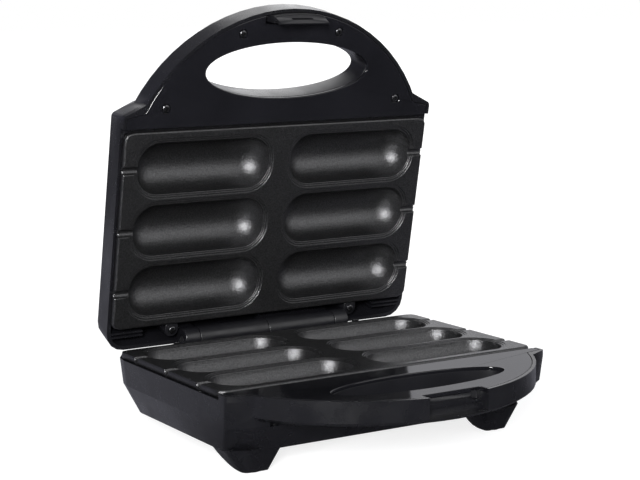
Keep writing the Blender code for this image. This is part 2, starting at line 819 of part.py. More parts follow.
def make_handle_hollow(builder, half):
    """The space inside the handle half, less its screw posts, lens wall and latch pocket."""
    name = half["name"]
    sign = half["sign"]
    outline = handle_outline(HANDLE_WALL, -BULKHEAD_FRONT)
    floor = half["handle_depth"] - HANDLE_FLOOR
    top = half["face"] + COVER_SHEET + SEAT
    hollow = builder.cutter(
        name + "_handle_space",
        lambda bm: add_prism(bm, outline, -sign * OVERRUN, sign * floor),
    )

    def add_posts(bm):
        post_top = top if half is LID else top + SCREW_LENGTH / 2
        for x, y in cover_screw_places():
            reach = half["handle_depth"] - post_top
            profile = [(0, SCREW_POST), (reach, SCREW_POST)]
            add_turned(bm, (x, y, sign * post_top), (0, 0, sign), profile)

    def add_lens_wall(bm):
        grown = LENS_WALL - LENS_LEDGE
        wall = ellipse(LENS_HALF_X + grown, LENS_HALF_Y + grown, -LENS_Y)
        add_prism(bm, wall, sign * top, sign * half["handle_depth"])

    def add_pocket(bm):
        side = NOTCH_HALF + POCKET_WALL
        zs = sorted((sign * top, sign * half["handle_depth"]))
        back = -NOTCH_BACK + POCKET_WALL
        add_box(bm, (-side, -SHOULDER_FRONT - HANDLE_RADIUS, zs[0]), (side, back, zs[1]))

    cut(
        hollow,
        builder.cutter(name + "_posts", add_posts),
        builder.cutter(name + "_lens_wall", add_lens_wall),
        builder.cutter(name + "_pocket", add_pocket),
    )
    return hollow


def add_lens_hole(half, shrink):
    def add(bm):
        opening = ellipse(LENS_HALF_X - shrink, LENS_HALF_Y - shrink, -LENS_Y)
        far = half["handle_depth"] + OVERRUN
        add_prism(bm, opening, -half["sign"] * OVERRUN, half["sign"] * far)

    return add


def add_trims(half):
    """Levels the handle's rim at its face and the tub's rim at the plate's seat."""

    def add(bm):
        sign = half["sign"]
        side = HALF_HOUSING + OVERRUN
        face = sorted((-sign * 2 * OVERRUN, sign * half["face"]))
        reach = HANDLE_CENTRE + HANDLE_RADIUS + OVERRUN
        add_box(bm, (-side, -reach, face[0]), (side, REAR + OVERRUN, face[1]))

    return add


def add_rim_step(half):
    def add(bm):
        sign = half["sign"]
        side = HALF_HOUSING + OVERRUN
        rim = sorted((-sign * OVERRUN, sign * RIM_DEPTH))
        add_box(bm, (-side, -STEP_FRONT, rim[0]), (side, REAR + OVERRUN, rim[1]))

    return add


def hinge_z():
    return -HINGE_DROP


def add_barrels(spans, radius, gap):
    """Cylinders on the hinge axis over the given spans, drawn short by gap at each end."""

    def add(bm):
        for start, end in spans:
            origin = (start + gap, HINGE_Y, hinge_z())
            profile = [(0, radius), (end - start - 2 * gap, radius)]
            add_turned(bm, origin, (1, 0, 0), profile, BARREL_STEPS)

    return add


def add_knuckle_webs(half):
    """A web from each knuckle down into the rear wall of its housing."""

    def add(bm):
        sign = half["sign"]
        zs = sorted((hinge_z(), sign * WEB_DEPTH))
        for start, end in half["own_knuckles"]:
            low = (start + RUN, HINGE_Y - WEB_FRONT, zs[0])
            high = (end - RUN, REAR - WALL / 2, zs[1])
            add_box(bm, low, high)

    return add


def add_relief(half):
    """Room in the rear wall for the other housing's knuckles."""
    spans = [(start - RUN, end + RUN) for start, end in half["other_knuckles"]]
    return add_barrels(spans, BARREL_RADIUS + RUN, 0)


def add_rod_bore():
    span = [(-BARREL_END - OVERRUN, BARREL_END + OVERRUN)]
    return add_barrels(span, ROD_RADIUS + SEAT, 0)


def add_ear_bores(half):
    def add(bm):
        bore = SCREW_SHANK + SEAT
        for side in (-1, 1):
            start = (side * EAR_X, EAR_Y, 0)
            reach = RIM_DEPTH + SCREW_LENGTH
            add_turned(bm, start, (0, 0, half["sign"]), [(0, bore), (reach, bore)])

    return add


def make_shell(builder, half, name, finish):
    shell = builder.piece(
        name,
        finish,
        lambda bm: add_loft(bm, tub_rings(half, 0, SHOULDER_FRONT, HOUSING_DEPTH, -OVERRUN / 4)),
    )
    join(shell, builder.cutter(name + "_bow", lambda bm: add_loft(bm, slab_rings(half))))
    cut(shell, builder.cutter(name + "_trim", add_trims(half)))
    cut(shell, builder.cutter(name + "_step", add_rim_step(half)))
    cut(shell, make_tub_hollow(builder, half), make_handle_hollow(builder, half))
    cut(shell, builder.cutter(name + "_lens", add_lens_hole(half, LENS_LEDGE)))
    cut(shell, builder.cutter(name + "_relief", add_relief(half)))
    join(shell, builder.cutter(name + "_webs", add_knuckle_webs(half)))
    join(
        shell,
        builder.cutter(name + "_knuckles", add_barrels(half["own_knuckles"], BARREL_RADIUS, RUN / 2)),
    )
    cut(shell, builder.cutter(name + "_rod_bore", add_rod_bore()))
    cut(shell, builder.cutter(name + "_ear_bores", add_ear_bores(half)))
    return shell


def add_base_notch():
    """The latch notch in the base with the catch that stands out from its back wall."""

    def add(bm):
        front = -(HANDLE_CENTRE + HANDLE_RADIUS + OVERRUN)
        back = -NOTCH_BACK
        lip = back - CATCH_LENGTH
        low = -(CATCH_TOP + CATCH_HEIGHT)
        section = [
            (front, OVERRUN),
            (back, OVERRUN),
            (back, -CATCH_TOP + CATCH_LENGTH / 2),
            (lip, -CATCH_TOP),
            (lip, low),
            (back, low),
            (back, -NOTCH_FLOOR),
            (front, -NOTCH_FLOOR),
        ]
        add_x_prism(bm, section, -NOTCH_HALF, NOTCH_HALF)

    return add


def add_lid_notch():
    """The latch's room in the lid, behind the rim of the bow."""

    def add(bm):
        outline = bow_segment(HANDLE_RADIUS - HANDLE_WALL, NOTCH_HALF)
        outline += [(-NOTCH_HALF, -NOTCH_BACK), (NOTCH_HALF, -NOTCH_BACK)]
        add_prism(bm, outline, -OVERRUN, LATCH_TOP + 2 * RUN)

    return add


def front_foot_outline(side, share):
    """A front foot's plan at a share of its height: tapered, with a rounded rear flank."""
    curve = 1 - sqrt(1 - share**2)
    outer = between(HALF_HOUSING - BASE_FLOOR_INSET, FOOT_OUTER_X, share)
    inner = between(FOOT_TOP_INNER_X, FOOT_INNER_X, share)
    front = -between(FLOOR_FRONT, FOOT_FRONT_Y, share)
    rear = -between(FOOT_TOP_REAR_Y, FOOT_REAR_Y, curve)
    wide = between(FOOT_TOP_OUTER_CORNER, FOOT_OUTER_CORNER, share)
    corners = (
        (outer - wide, front + wide, wide, -90),
        (outer - FOOT_CORNER, rear - FOOT_CORNER, FOOT_CORNER, 0),
        (inner + FOOT_CORNER, rear - FOOT_CORNER, FOOT_CORNER, 90),
        (inner + FOOT_CORNER, front + FOOT_CORNER, FOOT_CORNER, 180),
    )
    points = []
    for centre_x, centre_y, radius, start in corners:
        points += arc(centre_x, centre_y, radius, radius, start, start + 90, CORNER_STEPS)
    return [(side * x, y) for x, y in points]


def add_feet():
    """Front feet carry on the tub's taper; rear feet stand further in."""

    def add(bm):
        bottom = STAND_HEIGHT - PAD_PROUD
        top = HOUSING_DEPTH - WALL / 2
        for side in (-1, 1):
            rings = []
            for share in FOOT_LEVEL_SHARES:
                depth = between(top, bottom, share)
                rings.append([(x, y, -depth) for x, y in front_foot_outline(side, share)])
            add_loft(bm, rings)
            rings = []
            for share in (0, 1):
                half_x = between(REAR_FOOT_TOP_X, REAR_FOOT_BOTTOM_X, share) / 2
                half_y = between(REAR_FOOT_TOP_Y, REAR_FOOT_BOTTOM_Y, share) / 2
                depth = between(top, bottom, share)
                outline = rounded_outline(
                    half_x,
                    REAR_FOOT_Y - half_y,
                    REAR_FOOT_Y + half_y,
                    FOOT_CORNER,
                    FOOT_CORNER,
                    side * REAR_FOOT_X,
                )
                rings.append([(x, y, -depth) for x, y in outline])
            add_loft(bm, rings)

    return add


def add_pad_recesses():
    def add(bm):
        radius = PAD_RADIUS + SEAT
        depth = PAD_HEIGHT - PAD_PROUD + SEAT
        for _, x, y in foot_places():
            start = (x, y, -STAND_HEIGHT)
            add_turned(bm, start, (0, 0, 1), [(0, radius), (depth + PAD_PROUD, radius)])

    return add


def add_vents():
    def add(bm):
        middle = (VENT_COUNT - 1) / 2
        top = -(HOUSING_DEPTH - WALL - OVERRUN)
        bottom = -(HOUSING_DEPTH + OVERRUN)
        for k in range(VENT_COUNT):
            y = (k - middle) * VENT_PITCH
            half_y = VENT_WIDTH / 2
            corner = VENT_WIDTH / 3
            outline = rounded_outline(VENT_LENGTH / 2, y - half_y, y + half_y, corner, corner)
            add_prism(bm, outline, bottom, top)

    return add


def add_inlet_hole():
    def add(bm):
        start = (INLET_X, REAR - 2 * INLET_INSIDE, -INLET_DEPTH)
        radius = INLET_RADIUS + SEAT
        add_turned(bm, start, (0, 1, 0), [(0, radius), (3 * INLET_INSIDE, radius)])

    return add


def add_base_screw_bores():
    """From below: a counterbore for each head and a hole for its shank up through the post."""

    def add(bm):
        for x, y in cover_screw_places():
            start = (x, y, -(BASE_HANDLE_DEPTH + OVERRUN))
            wide = SCREW_RECESS
            bore = SCREW_SHANK + SEAT
            deep = OVERRUN + BASE_COUNTERBORE_DEPTH
            profile = [(0, wide), (deep, wide), (deep, bore), (OVERRUN + BASE_HANDLE_DEPTH, bore)]
            add_turned(bm, start, (0, 0, 1), profile)

    return add


def make_base_housing(base, finishes):
    housing = make_shell(base, BASE, "base_housing", finishes["gloss_black"])
    cut(housing, base.cutter("base_notch", add_base_notch()))
    join(housing, base.cutter("feet", add_feet()))
    cut(
        housing,
        base.cutter("pad_recesses", add_pad_recesses()),
        base.cutter("vents", add_vents()),
        base.cutter("inlet_hole", add_inlet_hole()),
        base.cutter("base_screw_bores", add_base_screw_bores()),
    )


def add_lid_post_bores():
    def add(bm):
        for x, y in cover_screw_places():
            bore = SCREW_SHANK + SEAT
            reach = SCREW_RECESS_DEPTH + SCREW_LENGTH + SEAT + OVERRUN
            start = (x, y, LID_FACE - OVERRUN)
            add_turned(bm, start, (0, 0, 1), [(0, bore), (reach, bore)])

    return add


def add_lamp_holes():
    def add(bm):
        radius = LENS_RADIUS + SEAT
        for _, x in LAMP_PLACES:
            start = (x, -LAMP_Y, HOUSING_DEPTH - WALL - OVERRUN)
            add_turned(bm, start, (0, 0, 1), [(0, radius), (WALL + 2 * OVERRUN, radius)])

    return add


def add_pin_bore(radius, reach):
    def add(bm):
        origin = (-reach, -PIN_Y, PIN_DEPTH)
        add_turned(bm, origin, (1, 0, 0), [(0, radius), (2 * reach, radius)])

    return add


def make_lid_housing(lid, finishes):
    housing = make_shell(lid, LID, "lid_housing", finishes["gloss_black"])
    pin_reach = NOTCH_HALF + PIN_SEAT + SEAT
    cut(
        housing,
        lid.cutter("lid_notch", add_lid_notch()),
        lid.cutter("lid_post_bores", add_lid_post_bores()),
        lid.cutter("lamp_holes", add_lamp_holes()),
        lid.cutter("pin_seat", add_pin_bore(PIN_RADIUS + SEAT, pin_reach)),
    )


# Handle covers


def make_cover(builder, half, name, finish):
    """A plate inside the handle's rim, with a lip at its rear that hides the bulkhead."""
    sign = half["sign"]
    face = sign * half["face"]
    outline = handle_outline(COVER_INSET, -COVER_REAR)
    under = sign * (half["face"] + COVER_SHEET)
    cover = builder.piece(name, finish, lambda bm: add_prism(bm, outline, face, under))

    def add_lip(bm):
        side = HALF_HOUSING - COVER_INSET - COVER_LIP_WALL
        zs = sorted((sign * (half["face"] + COVER_SHEET / 2), sign * COVER_LIP_DEPTH))
        low = (-side, -COVER_REAR - COVER_LIP_WALL, zs[0])
        add_box(bm, low, (side, -COVER_REAR - LENS_LEDGE / 4, zs[1]))

    def add_bosses(bm):
        start = half["face"] + COVER_SHEET / 2
        reach = COVER_SHEET / 2 + SCREW_LENGTH / 2
        for x, y in cover_screw_places():
            profile = [(0, SCREW_POST), (reach, SCREW_POST)]
            add_turned(bm, (x, y, sign * start), (0, 0, sign), profile)

    def add_holes(bm):
        bore = SCREW_SHANK + SEAT
        for x, y in cover_screw_places():
            if half is LID:
                wide = SCREW_RECESS
                deep = OVERRUN + SCREW_RECESS_DEPTH
                end = deep + COVER_SHEET + OVERRUN
                profile = [(0, wide), (deep, wide), (deep, bore), (end, bore)]
                add_turned(bm, (x, y, face - sign * OVERRUN), (0, 0, sign), profile)
            else:
                start = half["face"] + COVER_SHEET / 2
                profile = [(0, bore), (SCREW_LENGTH + OVERRUN, bore)]
                add_turned(bm, (x, y, sign * start), (0, 0, sign), profile)

    def add_latch_gap(bm):
        reach = HANDLE_CENTRE + HANDLE_RADIUS + OVERRUN
        low = (-NOTCH_HALF, -reach, -2 * OVERRUN)
        add_box(bm, low, (NOTCH_HALF, -NOTCH_BACK, 2 * OVERRUN))

    join(cover, builder.cutter(name + "_lip", add_lip))
    if half is BASE:
        join(cover, builder.cutter(name + "_bosses", add_bosses))
    cut(
        cover,
        builder.cutter(name + "_lens", add_lens_hole(half, 0)),
        builder.cutter(name + "_holes", add_holes),
        builder.cutter(name + "_latch_gap", add_latch_gap),
    )


# Fasteners


def add_screw(place, direction, length):
    """A pan head with a cross recess left to the finish, and a shank with a pointed end."""

    def add(bm):
        tall = SCREW_HEAD_HEIGHT
        profile = [
            (0, SCREW_HEAD * SCREW_CROWN_SHARE),
            (tall / 3, SCREW_HEAD),
            (tall, SCREW_HEAD),
            (tall, SCREW_SHANK),
            (tall + length, SCREW_SHANK / 2),
        ]
        add_turned(bm, place, direction, profile, SCREW_STEPS)

    return add


def make_cover_screws(base, lid, steel):
    for index, (x, y) in enumerate(cover_screw_places(), start=1):
        top = LID_FACE + SCREW_RECESS_DEPTH - SCREW_HEAD_HEIGHT - SEAT
        shank = SCREW_LENGTH - SEAT
        lid.piece(f"lid_cover_screw_{index}", steel, add_screw((x, y, top), (0, 0, 1), shank))
        head = BASE_HANDLE_DEPTH - BASE_COUNTERBORE_DEPTH + SCREW_HEAD_HEIGHT + SEAT
        base_screw = add_screw((x, y, -head), (0, 0, 1), BASE_SCREW_LENGTH)
        base.piece(f"base_cover_screw_{index}", steel, base_screw)


def make_plate_screws(builder, half, word, steel):
    sign = half["sign"]
    for place, side in (("left", -1), ("right", 1)):
        head = SKIRT_DEPTH - EAR_SHEET - SEAT - SCREW_HEAD_HEIGHT
        start = (side * EAR_X, EAR_Y, sign * head)
        name = f"{word}_plate_screw_{place}"
        builder.piece(name, steel, add_screw(start, (0, 0, sign), SCREW_LENGTH))
    for place, side in (("front", -1), ("rear", 1)):
        head = SHIELD_DEPTH + SHIELD_SHEET + SEAT + SCREW_HEAD_HEIGHT
        start = (0, side * POST_Y, sign * head)
        name = f"{word}_shield_screw_{place}"
        builder.piece(name, steel, add_screw(start, (0, 0, -sign), SHIELD_SCREW_LENGTH))


# Heating


def heater_path(half):
    """Two legs between the rows of cavities and a half-round bend at the right."""
    depth = half["sign"] * HEATER_DEPTH
    points = [(-HEATER_START_X, -HEATER_LEG_Y, depth)]
    bend = arc(HEATER_BEND_X, 0, HEATER_LEG_Y, HEATER_LEG_Y, -90, 90, 2 * CORNER_STEPS)
    points += [(x, y, depth) for x, y in bend]
    points.append((-HEATER_START_X, HEATER_LEG_Y, depth))
    return points


def add_tube(points, radius, steps):
    """A tube along a level path, with a ring square to the path at each point."""

    def add(bm):
        rings = []
        for k, point in enumerate(points):
            before = Vector(points[max(k - 1, 0)])
            after = Vector(points[min(k + 1, len(points) - 1)])
            along = (after - before).normalized()
            up = Vector((0, 0, 1))
            across = along.cross(up)
            bend = (Vector(point) - before).normalized() if k else along
            stretch = 1 / along.dot(bend)
            ring = []
            for step in range(steps):
                a = 2 * pi * step / steps
                offset = across * (radius * cos(a) * stretch) + up * (radius * sin(a))
                ring.append(Vector(point) + offset)
            rings.append(ring)
        add_loft(bm, rings)

    return add


def make_heater(builder, half, name, steel):
    heater = builder.piece(name, steel, add_tube(heater_path(half), HEATER_RADIUS, ROUND_STEPS))

    def add_pins(bm):
        for y in (-HEATER_LEG_Y, HEATER_LEG_Y):
            start = (-HEATER_START_X - HEATER_PIN_LENGTH, y, half["sign"] * HEATER_DEPTH)
            profile = [(0, HEATER_PIN), (2 * HEATER_PIN_LENGTH, HEATER_PIN)]
            add_turned(bm, start, (1, 0, 0), profile, SCREW_STEPS)

    join(heater, builder.cutter(name + "_pins", add_pins))


def make_shield(builder, half, name, finish):
    """A sheet tray with a turned edge, held by two screws to the plate's posts."""
    sign = half["sign"]

    def ring(inset):
        return rounded_outline(
            SHIELD_WIDTH / 2 - inset,
            -SHIELD_LENGTH / 2 + inset,
            SHIELD_LENGTH / 2 - inset,
            SHIELD_CORNER - inset,
            SHIELD_CORNER - inset,
        )

    near = SHIELD_DEPTH
    far = SHIELD_DEPTH + SHIELD_SHEET
    flange = far + SHIELD_FLANGE
    shield = builder.piece(name, finish, lambda bm: add_prism(bm, ring(0), sign * near, sign * flange))
    inside = builder.cutter(
        name + "_inside",
        lambda bm: add_prism(bm, ring(SHIELD_SHEET), sign * far, sign * (flange + OVERRUN)),
    )

    def add_holes(bm):
        for side in (-1, 1):
            bore = SCREW_SHANK + SEAT
            start = (0, side * POST_Y, sign * (SHIELD_DEPTH - OVERRUN))
            profile = [(0, bore), (2 * OVERRUN, bore)]
            add_turned(bm, start, (0, 0, sign), profile)

    cut(shield, inside, builder.cutter(name + "_holes", add_holes))


# Small fittings


def make_hinge_rod(base, steel):
    reach = BARREL_END - RUN
    origin = (-reach, HINGE_Y, hinge_z())
    profile = [(0, ROD_RADIUS), (2 * reach, ROD_RADIUS)]
    base.piece("hinge_rod", steel, lambda bm: add_turned(bm, origin, (1, 0, 0), profile))


def make_inlet_bush(base, rubber):
    """A flanged sleeve through the rear wall, with a bore for the lead."""
    shank = REAR - INLET_INSIDE
    face = REAR + SEAT
    end = face + INLET_FLANGE_SHEET
    profile = [
        (0, INLET_RADIUS),
        (face - shank, INLET_RADIUS),
        (face - shank, INLET_FLANGE),
        (end - shank, INLET_FLANGE),
    ]
    origin = (INLET_X, shank, -INLET_DEPTH)
    bush = base.piece("cord_inlet_bush", rubber, lambda bm: add_turned(bm, origin, (0, 1, 0), profile))
    start = (INLET_X, shank - OVERRUN, -INLET_DEPTH)
    length = end - shank + 2 * OVERRUN
    bore = [(0, INLET_BORE), (length, INLET_BORE)]
    cut(bush, base.cutter("inlet_bore", lambda bm: add_turned(bm, start, (0, 1, 0), bore)))


def make_foot_pads(base, rubber):
    for name, x, y in foot_places():
        origin = (x, y, -STAND_HEIGHT)
        profile = [(0, PAD_RADIUS), (PAD_HEIGHT, PAD_RADIUS)]
        base.piece(
            f"foot_pad_{name}",
            rubber,
            lambda bm, o=origin, p=profile: add_turned(bm, o, (0, 0, 1), p, BARREL_STEPS),
        )


def make_controls(base, finishes):
    """The thermostat and the fuse sit under the plate, the terminal block stands on the floor."""
    under = PLATE_FACE + PLATE_SHEET + SEAT
    profile = [(0, THERMOSTAT_RADIUS), (THERMOSTAT_HEIGHT, THERMOSTAT_RADIUS)]
    base.piece(
        "thermostat",
        finishes["ceramic"],
        lambda bm: add_turned(bm, (0, 0, -under), (0, 0, -1), profile),
    )
    fuse_start = (0, FUSE_Y - FUSE_LENGTH / 2, -(under + FUSE_RADIUS))
    fuse = [(0, FUSE_RADIUS / 2), (FUSE_RADIUS / 2, FUSE_RADIUS)]
    fuse += [(FUSE_LENGTH - FUSE_RADIUS / 2, FUSE_RADIUS), (FUSE_LENGTH, FUSE_RADIUS / 2)]
    base.piece(
        "thermal_fuse",
        finishes["insulation"],
        lambda bm: add_turned(bm, fuse_start, (0, 1, 0), fuse),
    )
    floor = -(HOUSING_DEPTH - WALL - SEAT)
    low = (BLOCK_PLACE_X - BLOCK_X / 2, BLOCK_PLACE_Y - BLOCK_Y / 2, floor)
    high = (BLOCK_PLACE_X + BLOCK_X / 2, BLOCK_PLACE_Y + BLOCK_Y / 2, floor + BLOCK_HEIGHT)
    base.piece("terminal_block", finishes["ceramic"], lambda bm: add_box(bm, low, high))


def make_lamps(lid, finishes):
    """Each lamp is a lens pushed through the lid's top, with a neon bulb in its hollow."""
    for word, x in LAMP_PLACES:
        outer = HOUSING_DEPTH + SEAT
        flange = outer + LENS_FLANGE_SHEET
        shank = HOUSING_DEPTH - LENS_TALL
        start = (x, -LAMP_Y, shank)
        profile = [
            (0, LENS_RADIUS),
            (outer - shank, LENS_RADIUS),
            (outer - shank, LENS_FLANGE),
            (flange - shank - LENS_FLANGE_SHEET / 2, LENS_FLANGE),
            (flange - shank, LENS_RADIUS),
        ]
        colour = "red_lens" if word == "power" else "green_lens"
        lens = lid.piece(
            f"{word}_lamp_lens",
            finishes[colour],
            lambda bm, s=start, p=profile: add_turned(bm, s, (0, 0, 1), p),
        )
        hollow = [(0, NEON_RADIUS + SEAT), (OVERRUN + LENS_TALL - SEAT, NEON_RADIUS + SEAT)]
        below = (x, -LAMP_Y, shank - OVERRUN)
        tool = lid.cutter(
            f"{word}_lamp_hollow", lambda bm, s=below, p=hollow: add_turned(bm, s, (0, 0, 1), p)
        )
        cut(lens, tool)
        bulb_top = HOUSING_DEPTH - 2 * SEAT
        bulb = [(0, NEON_RADIUS / 2), (NEON_RADIUS / 2, NEON_RADIUS), (NEON_LENGTH, NEON_RADIUS)]
        lid.piece(
            f"{word}_neon_lamp",
            finishes["glass"],
            lambda bm, s=(x, -LAMP_Y, bulb_top), p=bulb: add_turned(bm, s, (0, 0, -1), p),
        )


# Latch


def pad_level(y):
    """Height of the latch's slanted pad at a place along y."""
    share = (LATCH_OUTER_Y + y) / (LATCH_THICK - TOOTH_TIP)
    return -between(LATCH_PAD_TOP, LATCH_REACH, min(share, 1))


def make_latch(latch, finishes):
    """A tab that runs inside the bow's rim, with a groove for the catch and a slanted pad to press."""
    half_x = LATCH_WIDTH / 2
    outline = bow_segment(LATCH_RADIUS, half_x)
    outline += [
        (-half_x, -LATCH_INNER_Y - TOOTH_TIP),
        (-half_x, -LATCH_INNER_Y),
        (half_x, -LATCH_INNER_Y),
        (half_x, -LATCH_INNER_Y - TOOTH_TIP),
    ]
    rings = [[(x, y, LATCH_TOP) for x, y in outline]]
    for share in LATCH_EDGE_SHARES:
        narrow = 1 - LATCH_PAD_SIDE * share / half_x
        drop = LATCH_PAD_EDGE * sqrt(1 - share**2)
        rings.append([(x * narrow, y, pad_level(y) + drop) for x, y in outline])
    tab = latch.piece("latch", finishes["gloss_black"], lambda bm: add_loft(bm, rings))

    def add_groove(bm):
        low = -(CATCH_TOP + CATCH_HEIGHT + SEAT)
        face = -LATCH_INNER_Y - TOOTH_LENGTH
        high = -CATCH_TOP + GROOVE_RUN
        section = [
            (face, low),
            (-LATCH_INNER_Y + OVERRUN, low),
            (-LATCH_INNER_Y + OVERRUN, high),
            (face, high),
        ]
        add_x_prism(bm, section, -half_x - OVERRUN, half_x + OVERRUN)

    cut(
        tab,
        latch.cutter("latch_groove", add_groove),
        latch.cutter("latch_bore", add_pin_bore(PIN_RADIUS + SEAT, half_x + OVERRUN)),
    )


def make_latch_pin(lid, steel):
    reach = NOTCH_HALF + PIN_SEAT
    lid.piece("latch_pin", steel, add_pin_bore(PIN_RADIUS, reach))


# Assembly


def middle_y():
    """Half way between the base's bow in front and the open lid's back behind."""
    behind = LID_FLOOR_REAR - HINGE_Y
    above = HOUSING_DEPTH + HINGE_DROP
    back = HINGE_Y + behind * cos(LID_OPENING) + above * sin(LID_OPENING)
    return (back - HANDLE_CENTRE - HANDLE_RADIUS) / 2


def new_frame(name, location, parent=None, tilt=0.0):
    frame = bpy.data.objects.new(name, None)
    bpy.context.scene.collection.objects.link(frame)
    frame.parent = parent
    frame.location = location
    frame.rotation_euler = (tilt, 0, 0)
    return frame


def main():
    clear_scene()
    finishes = make_materials()
    hinge = Vector((0, HINGE_Y, hinge_z()))
    pivot = Vector((0, -PIN_Y, PIN_DEPTH))
    base_frame = new_frame("base_frame", (0, -middle_y(), STAND_HEIGHT))
    lid_frame = new_frame("lid_frame", hinge, base_frame, -LID_OPENING)
    latch_frame = new_frame("latch_frame", pivot - hinge, lid_frame, -LATCH_SWING)
    base = Builder(base_frame, (0, 0, 0))
    lid = Builder(lid_frame, hinge)
    latch = Builder(latch_frame, pivot)
    steel = finishes["steel"]
    make_base_housing(base, finishes)
    make_lid_housing(lid, finishes)
    make_cover(base, BASE, "base_handle_cover", finishes["gloss_black"])
    make_cover(lid, LID, "lid_handle_cover", finishes["gloss_black"])
    make_plate(base, BASE, "lower_plate", finishes["non_stick"])
    make_plate(lid, LID, "upper_plate", finishes["non_stick"])
    make_cover_screws(base, lid, steel)
    make_plate_screws(base, BASE, "lower", steel)
    make_plate_screws(lid, LID, "upper", steel)
    make_heater(base, BASE, "lower_heating_element", steel)
    make_heater(lid, LID, "upper_heating_element", steel)
    make_shield(base, BASE, "lower_heat_shield", finishes["zinc_sheet"])
    make_shield(lid, LID, "upper_heat_shield", finishes["zinc_sheet"])
    make_hinge_rod(base, steel)
    make_inlet_bush(base, finishes["rubber"])
    make_foot_pads(base, finishes["rubber"])
    make_controls(base, finishes)
    make_lamps(lid, finishes)
    make_latch(latch, finishes)
    make_latch_pin(lid, steel)


if __name__ == "__main__":
    main()
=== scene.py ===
"""Corn dog maker, dressed for rendering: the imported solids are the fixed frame, and the pieces that
show get finer surfaces and procedural finishes. Everything is in metres.

Half coordinates are (x, y, depth): the lid is closed, +Y points from the handle to the hinge, and
depth is the distance from the parting plane between the plates, into the base or into the lid.
"""

import json
from math import cos, pi, radians, sin, sqrt

import bmesh
import bpy
import numpy as np
from bpy.props import FloatProperty, FloatVectorProperty, PointerProperty
from bpy.types import NodeSocket, Operator, Panel, PropertyGroup
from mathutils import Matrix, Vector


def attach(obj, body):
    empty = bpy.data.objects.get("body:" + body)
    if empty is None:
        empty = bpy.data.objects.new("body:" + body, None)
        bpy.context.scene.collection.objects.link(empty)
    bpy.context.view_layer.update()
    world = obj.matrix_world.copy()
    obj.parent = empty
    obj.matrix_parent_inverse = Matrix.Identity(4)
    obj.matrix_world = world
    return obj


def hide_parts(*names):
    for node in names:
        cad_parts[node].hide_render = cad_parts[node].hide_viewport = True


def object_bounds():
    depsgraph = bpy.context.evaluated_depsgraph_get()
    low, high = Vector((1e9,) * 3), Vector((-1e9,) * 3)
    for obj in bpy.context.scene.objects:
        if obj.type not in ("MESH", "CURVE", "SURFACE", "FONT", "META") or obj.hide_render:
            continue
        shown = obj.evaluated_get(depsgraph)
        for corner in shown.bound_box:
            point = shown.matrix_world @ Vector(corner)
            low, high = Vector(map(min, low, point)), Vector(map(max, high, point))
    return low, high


bl_info = {
    "name": "Corn Dog Maker",
    "version": (1, 0, 0),
    "blender": (4, 5, 0),
    "location": "3D View > Sidebar > Corn Dog Maker",
    "description": "Builds the visible pieces of a corn dog maker around its packed solids",
    "category": "Add Mesh",
}

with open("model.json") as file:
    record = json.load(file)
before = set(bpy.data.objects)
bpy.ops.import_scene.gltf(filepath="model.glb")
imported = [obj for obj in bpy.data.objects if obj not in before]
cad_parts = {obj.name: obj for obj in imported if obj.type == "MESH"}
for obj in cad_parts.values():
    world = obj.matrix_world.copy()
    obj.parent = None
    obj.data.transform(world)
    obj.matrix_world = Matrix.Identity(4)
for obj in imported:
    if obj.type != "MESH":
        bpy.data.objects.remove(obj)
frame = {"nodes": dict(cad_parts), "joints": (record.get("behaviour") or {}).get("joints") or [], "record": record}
CAD_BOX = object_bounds()
JOINTS = {joint["name"]: joint for joint in frame["joints"]}
HINGE, PIVOT = JOINTS["lid_hinge"], JOINTS["latch_pivot"]

# Housings, hinge and pin, shared with the solids
HINGE_Y = 0.0724
HINGE_DROP = 0.0002
PIN_Y = 0.1289
PIN_DEPTH = 0.0055
HALF_HOUSING = 0.1095
HOUSING_DEPTH = 0.036
BARREL_RADIUS = 0.0065
BARREL_END = 0.06
BARREL_STEP = 0.0495
BARREL_GAP = 0.00025
KNUCKLES = {
    "base": ((-BARREL_STEP, 0), (BARREL_STEP, BARREL_END)),
    "lid": ((-BARREL_END, -BARREL_STEP), (0, BARREL_STEP)),
}
KNUCKLE_BORE = 0.0035
KNUCKLE_SKIN = 0.0001

# Handles and their covers
SHOULDER_Y = 0.0697
SHOULDER_CORNER = 0.003
SHOULDER_SLANT = radians(26)
BOW_RADIUS = 0.109
BOW_CENTRE = 0.0255
COVER_INSET = 0.0023
COVER_REAR = 0.064
COVER_SHEET = 0.0022
LIP_WALL = 0.0016
LIP_DEPTH = 0.0065
COVER_FACE = {"base": 0.001, "lid": 0.0007}
HANDLE_DEPTH = {"base": 0.016, "lid": 0.018}
LENS_HALF_X = 0.0575
LENS_HALF_Y = 0.0172
LENS_Y = 0.0965
LENS_LEDGE = {"base": 0.0008, "lid": -0.0003}
LENS_FAR = 0.0013
LENS_ROLL = 0.0006
CLEAR_TOP = -0.002
LENS_ROOM_BOTTOM = 0.022

# The latch and its notch; a plan is half its size along x and y and its corners' radius
NOTCH_PLAN = (0.0195, 0.008, 0.0008)
NOTCH_BACK = 0.1253
SLOT_PLAN = (0.003, 0.0026, 0.0003)
SLOT_X = 0.0161
SLOT_BOTTOM = 0.0078
LATCH_RADIUS = 0.1062
LATCH_INNER_Y = 0.1261
LATCH_OUTER_Y = 0.1317
LATCH_TOP = 0.0105
LATCH_TOP_EDGE = 0.0003
GROOVE_Y = 0.1275
GROOVE_HALF_Y = 0.001
GROOVE_DEPTHS = (-0.0052, -0.009)
PAD_TOP = 0.003
PAD_RUN = 0.0051
PAD_LINE_PLAN = (0.0082, 0.001, 0.0009)
PAD_LINE_X = 0.0008

